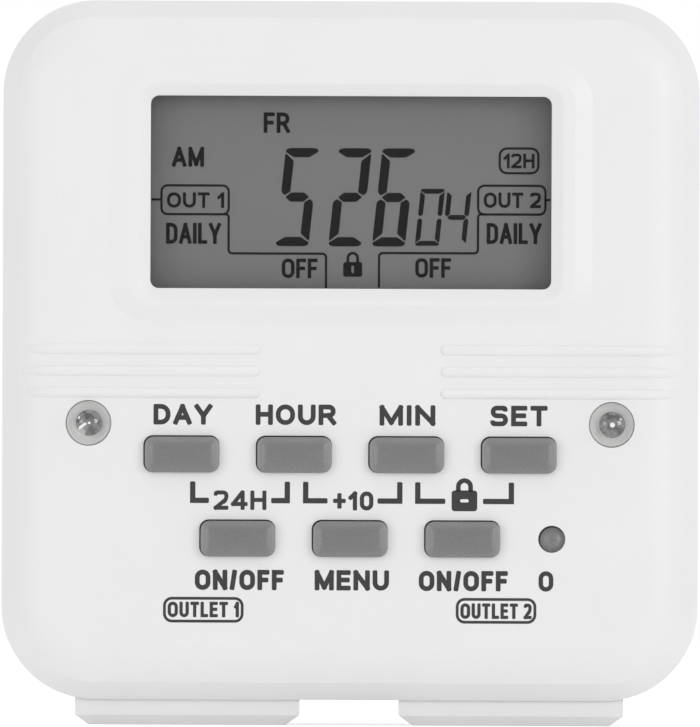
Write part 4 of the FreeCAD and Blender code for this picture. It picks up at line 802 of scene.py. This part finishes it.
principled(start, colour, 0.25 + 0.1 * noise(start, 2))
piece("smoothing_capacitor_can", skins, sleeve, "sleeve_dark", "smoothing_capacitor")
lid = turned([(0, 0.19), (3.9, 0.19), (3.8, 0.1), (0, 0.1)], (x, -top, z), 1)
can_steel = metal("can steel", (0.7, 0.7, 0.68), 0.25, 0.2, (8, 1, 1))
piece("smoothing_capacitor_lid", [lid], can_steel, "can_steel")
scores = [
    stroke([(x, z), [x, z] + 2.9 * end], 0.25, top - 0.1)
    for end in circle(np.radians([90, 210, 330]))
]
piece("smoothing_capacitor_scores", scores, mark_finish("vent score", 0.1, 0.5), "can_steel")


# Varistor, fuse and rectifier
# A blue epoxy-dipped disc on two wires; a round moulded fuse with a sunken lid; a flat four-legged
# bridge with a bevelled corner line. All stand on the power board.
def tube(points, radius):
    """A round wire along points, each loop square to the mean of the steps beside it."""
    path = np.array(points, float)
    steps = unit(np.diff(path, axis=0))
    along = np.vstack([steps[:1], steps[:-1] + steps[1:], steps[-1:]])
    side = unit(np.cross(along, [0.31, 0.48, 0.82]))
    over = unit(np.cross(along, side))
    turn = np.arange(10)[:, None] * 2 * pi / 10
    return capped(path[:, None] + radius * (side[:, None] * np.cos(turn) + over[:, None] * np.sin(turn)))


def leg(x, z, depth, radius):
    """A straight wire from a depth down to the power board."""
    return tube([(x, -depth, z), (x, -BOARD, z)], radius)


BOARD = 10.6
low, high = box_of("surge_varistor")
middle = (low + high) / 2
dip = [(0, -2), (3.4, -2), (4.4, -1.6), (4.85, -0.9), (5, 0), (4.85, 0.9), (4.4, 1.6), (3.4, 2), (0, 2)]
disc = turned(dip, middle, 1, "x", 48)
varistor_blue = moulded("varistor blue", (0.03, 0.13, 0.4), 0.3, 0.6)
piece("surge_varistor_disc", [disc], varistor_blue, "varistor_blue", "surge_varistor")
wires = [
    tube([(middle[0] + side * 0.7, y, middle[2] + side * 3.7) for y in (-13.6, -12, -BOARD)], 0.4)
    for side in (-1, 1)
]
x, z, _ = facing(*box_of("board_fuse"))
pot = [(0, 0), (4.1, 0), (4.2, 0.3), (4.2, 6.9), (4, 7.5), (3.7, 7.7), (3.3, 7.65), (3.2, 7.4), (0, 7.4)]
chip_black = moulded("chip black", 0.018, 0.42)
body = turned(pot, (x, -BOARD, z), facets=48)
piece("board_fuse_pot", [body], chip_black, "chip_black", "board_fuse")
low, high = box_of("bridge_rectifier")
x, z, top = facing(low, high)
skins = [
    block(low + [0, 0.06, 0], high - [0, 0.5, 0], 0.3, 0.5),
    stroke([(x - 3.2, z + 0.9), (x - 1.9, z + 2.2)], 0.3, top - 0.1, 0.1),
]
piece("bridge_rectifier_case", skins, chip_black, "chip_black", "bridge_rectifier")
wires += [leg(x + u, z + v, 11.5, 0.35) for u in (-3.6, 3.6) for v in (-2.5, 2.5)]


# Resistors, diodes and transistors
# Two dropper resistors with bulged ends and colour bands, two black diodes with a pale cathode band,
# and a transistor with a flat face by each relay. Their tinned wires go down to the board.
def banded(name, places, ground):
    """Lacquer with bands across x: each place is a middle, a width and a colour."""
    made, start = new_material(name)
    along = start.node("SeparateXYZ", inputs={"Vector": place_of(start, 1)})
    colour = tint(start, noise(start, 1), ground, 1.08 * np.array(ground))
    for middle, wide, band in places:
        mask = start.maths("COMPARE", along, middle, wide / 2)
        colour = start.node("Mix", {"data_type": "RGBA"}, {0: mask, 6: colour, 7: (*band, 1)}, output=2)
    principled(start, colour, 0.35 + 0.1 * noise(start, 0.6))
    return made


def axial(name, profile):
    """Bodies turned about x, of shares of the radius and half length of each box, and bent wires."""
    bodies, leads = [], []
    for low, high in islands(name):
        middle, half = (low + high) / 2, (high - low) / 2
        bodies.append(turned([(r * half[2], a * half[0]) for r, a in profile], middle, 1, "x", 32))
        for side in (-1, 1):
            end, y = middle[0] + side * half[0], middle[1]
            path = [(-0.5, y), (0.5, y), (0.85, y + 0.35), (0.85, -BOARD)]
            leads.append(tube([(end + side * out, y, middle[2]) for out, y in path], 0.3))
    return bodies, leads


bulged = [(0, -1), (0.8, -1), (0.98, -0.9), (1, -0.75), (0.88, -0.58), (0.86, 0), (0.88, 0.58), (1, 0.75)]
bulged += [(0.98, 0.9), (0.8, 1), (0, 1)]
straight = [(0, -1), (0.85, -1), (1, -0.88), (1, 0.88), (0.85, 1), (0, 1)]
bodies, leads = axial("dropper_resistors", bulged)
wires += leads
low, _ = islands("dropper_resistors")[-1]
places = [(low[0] + share * 9, 0.75, colour) for share, colour in (
    (0.16, (0.35, 0.02, 0.01)), (0.36, (0.01, 0.01, 0.01)),
    (0.52, (0.3, 0.08, 0.01)), (0.84, (0.45, 0.3, 0.06)),
)]
resistor_tan = banded("resistor lacquer", places, (0.55, 0.42, 0.26))
piece("dropper_resistor_bodies", bodies, resistor_tan, "resistor_tan", "dropper_resistors")
bodies, leads = axial("relay_diodes", straight)
wires += leads
places = [(low[0] + 0.9, 0.6, (0.55, 0.55, 0.55)) for low, _ in islands("relay_diodes")]
diode_black = banded("diode black", places, (0.015, 0.015, 0.015))
piece("relay_diode_bodies", bodies, diode_black, "chip_black", "relay_diodes")
bodies = []
for low, high in islands("relay_transistors"):
    x, radius = (low[0] + high[0]) / 2, (high[0] - low[0]) / 2
    z = high[2] - radius
    flat = asin((z - low[2]) / radius)
    arc = radius * circle(np.linspace(-flat, pi + flat, 40))
    bodies.append(capped(np.stack([
        stand([x, z] + share * arc, depth)
        for share, depth in ((0.97, 11.4), (1, 11.5), (1, 15), (0.97, 15.15), (0.9, 15.2))
    ])))
    wires += [leg(x + step, z, 11.8, 0.25) for step in (-1.27, 0, 1.27)]
piece("relay_transistor_cases", bodies, chip_black, "chip_black", "relay_transistors")
tinned = metal("tinned wire", (0.72, 0.72, 0.7), 0.25, 0.2)
piece("component_wires", wires, tinned, "can_steel")


# Board link
# A strip of six square pins on the power board, with tapered tips, goes into a socket strip on the
# control board that has a framed opening for each pin.
low, high = box_of("link_header")
strip = block([low[0], high[1] - 2.5, low[2]], high, 0.2, 0.2)
low, high = box_of("link_socket")
z, mouth = (low[2] + high[2]) / 2, -high[1]
pins, lattice = [], [block(low, high - [0, 0.15, 0], 0.2, 0.02)]
for x in low[0] + (np.arange(6) + 0.5) * 2.54:
    pins.append(capped(inset_loops(x, z, 0.6, 0.6, 0.2, [(0, 13), (0, 19.8), (0.08, 20.28)])))
    lattice.append(box_line(x, z, 2.1, 2.05, 0.25, 0.35, mouth, 0.2))
piece("link_header_strip", [strip], chip_black, "chip_black", "link_header")
piece("link_header_pins", pins, tinned, "chip_black")
piece("link_socket_strip", lattice, chip_black, "chip_black", "link_socket")


# Controller, crystal and battery
# A square moulded controller with 64 gull-wing leads and a dimple at its first one, a tin-canned clock
# crystal laid on its side, and a steel button battery, all on the back of the control board.
low, high = box_of("controller_chip")
x, z, front = facing(low, high)
case = block([x - 5, 0.12 - front, z - 5], [x + 5, high[1], z + 5], 0.3, 0.15, -1)
dimple = box_line(x - 3.6, z + 3.6, 0.9, 0.9, 0.44, 0.12, -high[1] - 0.02, 0.1)
piece("controller_case", [case, dimple], chip_black, "chip_black", "controller_chip")
points, faces = stroke([(4.9, 28.1), (5.35, 28.1), (5.65, 28.7), (6.2, 28.7)], 0.15, -0.12, 0.24, 0.02)
leads = []
for cosine, sine in ((1, 0), (0, 1), (-1, 0), (0, -1)):
    for place in (np.arange(16) - 7.5) * 0.6:
        out, aside, depth = (points + [0, place, 0]).T
        spots = x + cosine * out - sine * aside, -depth, z + sine * out + cosine * aside
        leads.append((np.stack(spots, -1), faces))
piece("controller_leads", leads, tinned, "chip_black")
low, high = box_of("clock_crystal")
_, y, z = (low + high) / 2
tin = [(0, 0), (0.7, 0), (0.97, 0.12), (1, 0.4), (1, 5.5), (1.05, 5.55), (1.05, 5.95), (0.95, 6), (0, 6)]
skins = [turned(tin, (low[0], y, z), 1, "x")]
for side in (-0.35, 0.35):
    path = [(8.7, 27.65), (9.3, 27.65), (9.55, 27.95), (9.55, 28.8)]
    skins.append(tube([(along, -depth, z + side) for along, depth in path], 0.15))
piece("clock_crystal_can", skins, can_steel, "can_steel", "clock_crystal")
x, z, front = facing(*box_of("backup_battery"))
button = [(0, 0), (5.4, 0), (5.7, 0.15), (5.8, 0.5), (5.8, 3.9), (5.6, 4.2), (5, 4.3), (4.9, 4.5)]
button += [(4.9, 5.1), (4.6, 5.4), (0, 5.4)]
cell = turned(button, (x, -front, z), 1, facets=64)
piece("backup_battery_cell", [cell], can_steel, "can_steel", "backup_battery")


# Circuit boards
# Glass epoxy under a green mask, in which the weave shows. Copper tracks stand up a little under the
# mask, parts are outlined in white ink, and every wire ends in a small cone of solder.
def board_finish(name, low, high):
    """Solder mask over woven glass: the weave is sin(x) * sin(z) at a pitch of half a millimetre."""
    made, start = new_material(name)
    place = {"Vector": place_of(start, 2 * pi / 0.5)}
    along, up = (start.maths("SINE", start.node("SeparateXYZ", (), place, output)) for output in (0, 2))
    weave = 0.5 + 0.5 * (along * up)
    colour = tint(start, 0.5 * weave + 0.5 * noise(start, 4), low, high)
    principled(start, colour, 0.3 + 0.1 * weave, Normal=bump(start, weave, 0.004))
    return made


def joint(x, z, depth, way, size=1):
    """A cone of solder round a cut wire, on a side of a board that faces back (way -1) or forward."""
    cone = [(0, 0), (0.95, 0), (0.7, 0.12), (0.45, 0.35), (0.36, 0.62), (0.3, 0.7), (0, 0.72)]
    return turned([(size * r, size * h) for r, h in cone], (x, -depth, z), -way, facets=16)


def track(start, end, level, wide, back, tall):
    """A copper track from start to end by way of a level, with cut corners, that stands off the back
    of a board."""
    path = arc_path([start, (start[0], level), (end[0], level), end], 1.2)
    return stroke(path, wide, back - tall, tall, 0.3)


board_green = board_finish("board green", (0.02, 0.11, 0.04), (0.03, 0.15, 0.055))
track_green = board_finish("board track", (0.04, 0.2, 0.07), (0.05, 0.24, 0.09))
board_white = mark_finish("board print", (0.75, 0.75, 0.72), 0.5)
solder = metal("solder", (0.75, 0.75, 0.74), 0.2, 0.5)
dress(board_green, "control_board", "power_board")

POWER_BACK = 9
RELAY = [(-0.85, -0.8), (-0.85, 0.8), (0.1, -0.8), (0.1, 0.8), (0.85, 0)]
PADS = {
    "left_relay": RELAY, "right_relay": RELAY,
    "dropper_capacitor": [(-0.83, 0), (0.83, 0)], "smoothing_capacitor": [(-0.5, 0), (0.5, 0)],
    "surge_varistor": [(-0.35, -0.74), (0.35, 0.74)], "board_fuse": [(-0.6, 0), (0.6, 0)],
    "bridge_rectifier": [(-0.86, -0.78), (0.86, -0.78), (-0.86, 0.78), (0.86, 0.78)],
    "dropper_resistors": [(-1.19, 0), (1.19, 0)], "relay_diodes": [(-1.34, 0), (1.34, 0)],
    "relay_transistors": [(-0.55, 0), (0, 0), (0.55, 0)],
    "link_header": [(share, 0) for share in (np.arange(6) - 2.5) / 3],
}
joints, outlines, spots = [], [], {}
for name, shares in PADS.items():
    for low, high in islands(name):
        x, z, _ = facing(low, high)
        wide, _, tall = high - low
        spots.setdefault(name, []).extend((x + u * wide / 2, z + v * tall / 2) for u, v in shares)
        outlines.append(box_line(x, z, wide + 0.7, tall + 0.7, 0.4, 0.2, BOARD))
    joints += [joint(*spot, POWER_BACK, -1) for spot in spots[name]]
piece("power_board_joints", joints, solder, "board_green")
piece("power_board_print", outlines, board_white, "board_green")
TRACKS = (
    (2.2, 1.5, "left_relay", 3, "dropper_capacitor", 1),
    (2.2, 0.5, "right_relay", 1, "board_fuse", 1),
    (1.2, 12.2, "board_fuse", 0, "dropper_capacitor", 0),
    (1, 11, "surge_varistor", 0, "bridge_rectifier", 0),
    (0.8, 24, "smoothing_capacitor", 0, "link_header", 5),
    (0.8, 3.6, "smoothing_capacitor", 1, "right_relay", 3),
    (0.6, -2.9, "relay_transistors", 0, "left_relay", 4),
    (0.6, -23, "relay_diodes", 0, "left_relay", 0),
    (0.6, -23, "relay_diodes", 3, "right_relay", 2),
    (0.8, 23.8, "dropper_resistors", 1, "link_header", 0),
)
tracks = [
    track(spots[start][pad], spots[end][last], level, wide, POWER_BACK, 0.05)
    for wide, level, start, pad, end, last in TRACKS
]
piece("power_board_tracks", tracks, track_green, "board_green")

CONTROL_BACK, CONTROL_FRONT = 28.8, 30.4
joints, tracks, outlines = [], [], []
for row, box in enumerate(sorted(islands("tactile_switches"), key=lambda ends: ends[0][0])):
    x, z, _ = facing(*box)
    joints += [joint(x + u, z + v, CONTROL_BACK, -1, 0.75) for u in (-3.25, 3.25) for v in (-2.25, 2.25)]
    outlines.append(box_line(x, z, 6.6, 6.6, 0.3, 0.18, CONTROL_FRONT))
    start, end = (-14.5 + 0.6 * row, -0.3), (x - 3.25, z + 2.25)
    tracks.append(track(start, end, -2.5 - 0.9 * (row if row < 2 else 7 - row), 0.35, CONTROL_BACK, 0.03))
for row in range(16):
    start, end = (-16.5 + 0.6 * row, 12.3), (-22.5 + 3 * row, 24)
    tracks.append(track(start, end, 14.2 + 0.6 * (row if row < 3 else 15 - row), 0.25, CONTROL_BACK, 0.03))
joints += [joint(share * 2.54, 26.5, CONTROL_FRONT, 1, 0.7) for share in np.arange(6) - 2.5]
piece("control_board_joints", joints, solder, "board_green")
piece("control_board_tracks", tracks, track_green, "board_green")
piece("control_board_print", outlines, board_white, "board_green")


# Floor, light and camera
# The timer stands on its outlet faces on a white floor, in a white room with three soft boxes. The camera
# looks level at the middle of the photographed frame from so far off that the sides hardly show.
def floor_finish():
    """Matt white paper, lit a little from below, and plain white where the camera, a gloss or a clear
    piece sees it, with a shadow left in it."""
    made, start = new_material("white floor")
    dull = start.node("BsdfDiffuse", inputs={"Color": tint(start, noise(start, 300), 0.87, 0.89)})
    strength = 0.12 + 0.45 * seen(start)
    glow = start.node("Emission", inputs={"Color": (1, 1, 1, 1), "Strength": strength})
    both = start.node("AddShader", inputs={0: dull, 1: glow})
    start.node("OutputMaterial", inputs={"Surface": both})
    return made


def seen(start):
    """One for rays from the camera, off a gloss or through a clear piece, and none for light."""
    names = ("Is Camera Ray", "Is Glossy Ray", "Is Transmission Ray")
    camera, gloss, clear = (start.node("LightPath", output=name) for name in names)
    return start.maths("MINIMUM", camera + gloss + clear, 1)


def floor(low):
    """A flat sheet that falls away as -0.002 r^2 towards its edge, so that it ends without a line."""
    turn = np.arange(48) * 2 * pi / 48
    reach = 10 * np.linspace(0, 1, 25)[:, None] ** 2
    rows = np.stack([reach * np.cos(turn), reach * np.sin(turn), low - 0.002 * reach ** 2 + 0 * turn], -1)
    points, faces = closed_skin(np.vstack([rows, rows[-1:]]))
    mesh = bpy.data.meshes.new("floor")
    mesh.from_pydata(points, [], faces[:-48])
    mesh.shade_smooth()
    mesh.materials.append(floor_finish())
    made = placed("floor", mesh)


floor(cad_box[0].z)

world = bpy.data.worlds.new("studio")
scene.world = world
world.use_nodes = True
world.node_tree.nodes.clear()
air = Socket(world.node_tree)
AMBIENT = 0.74
strength = AMBIENT + (1 - AMBIENT) * seen(air)
background = air.node("Background", inputs={"Color": (1, 1, 1, 1), "Strength": strength})
air.node("OutputWorld", inputs={"Surface": background})


def lamp(name, where, watts):
    """A square soft light that faces the timer."""
    data = bpy.data.lights.new(name, "AREA")
    data.shape = "SQUARE"
    data.size = 0.8
    data.energy = watts
    made = placed(name, data)
    made.location = where
    aim = Vector((0, -0.02, -0.01)) - made.location
    made.rotation_euler = aim.to_track_quat("-Z", "Y").to_euler()


lamp("right box", (1.5, -1.5, 0.45), 7)
lamp("left box", (-1.5, -1.5, 0.2), 4.4)
lamp("top box", (0, -0.5, 1.6), 1.6)

view = bpy.data.cameras.new("camera")
camera = placed("camera", view)
scene.camera = camera
DISTANCE = 4
VIEW_WIDTH = 91.1 * MM
camera.location = (-0.05 * MM, -DISTANCE, -9.65 * MM)
camera.rotation_euler = (radians(90), 0, 0)
camera.rotation_euler.rotate_axis("Z", radians(0.23))
view.sensor_fit = "HORIZONTAL"
view.lens = view.sensor_width * (DISTANCE - 8 * MM) / VIEW_WIDTH
view.clip_end = 20

scene.view_settings.view_transform = "Standard"
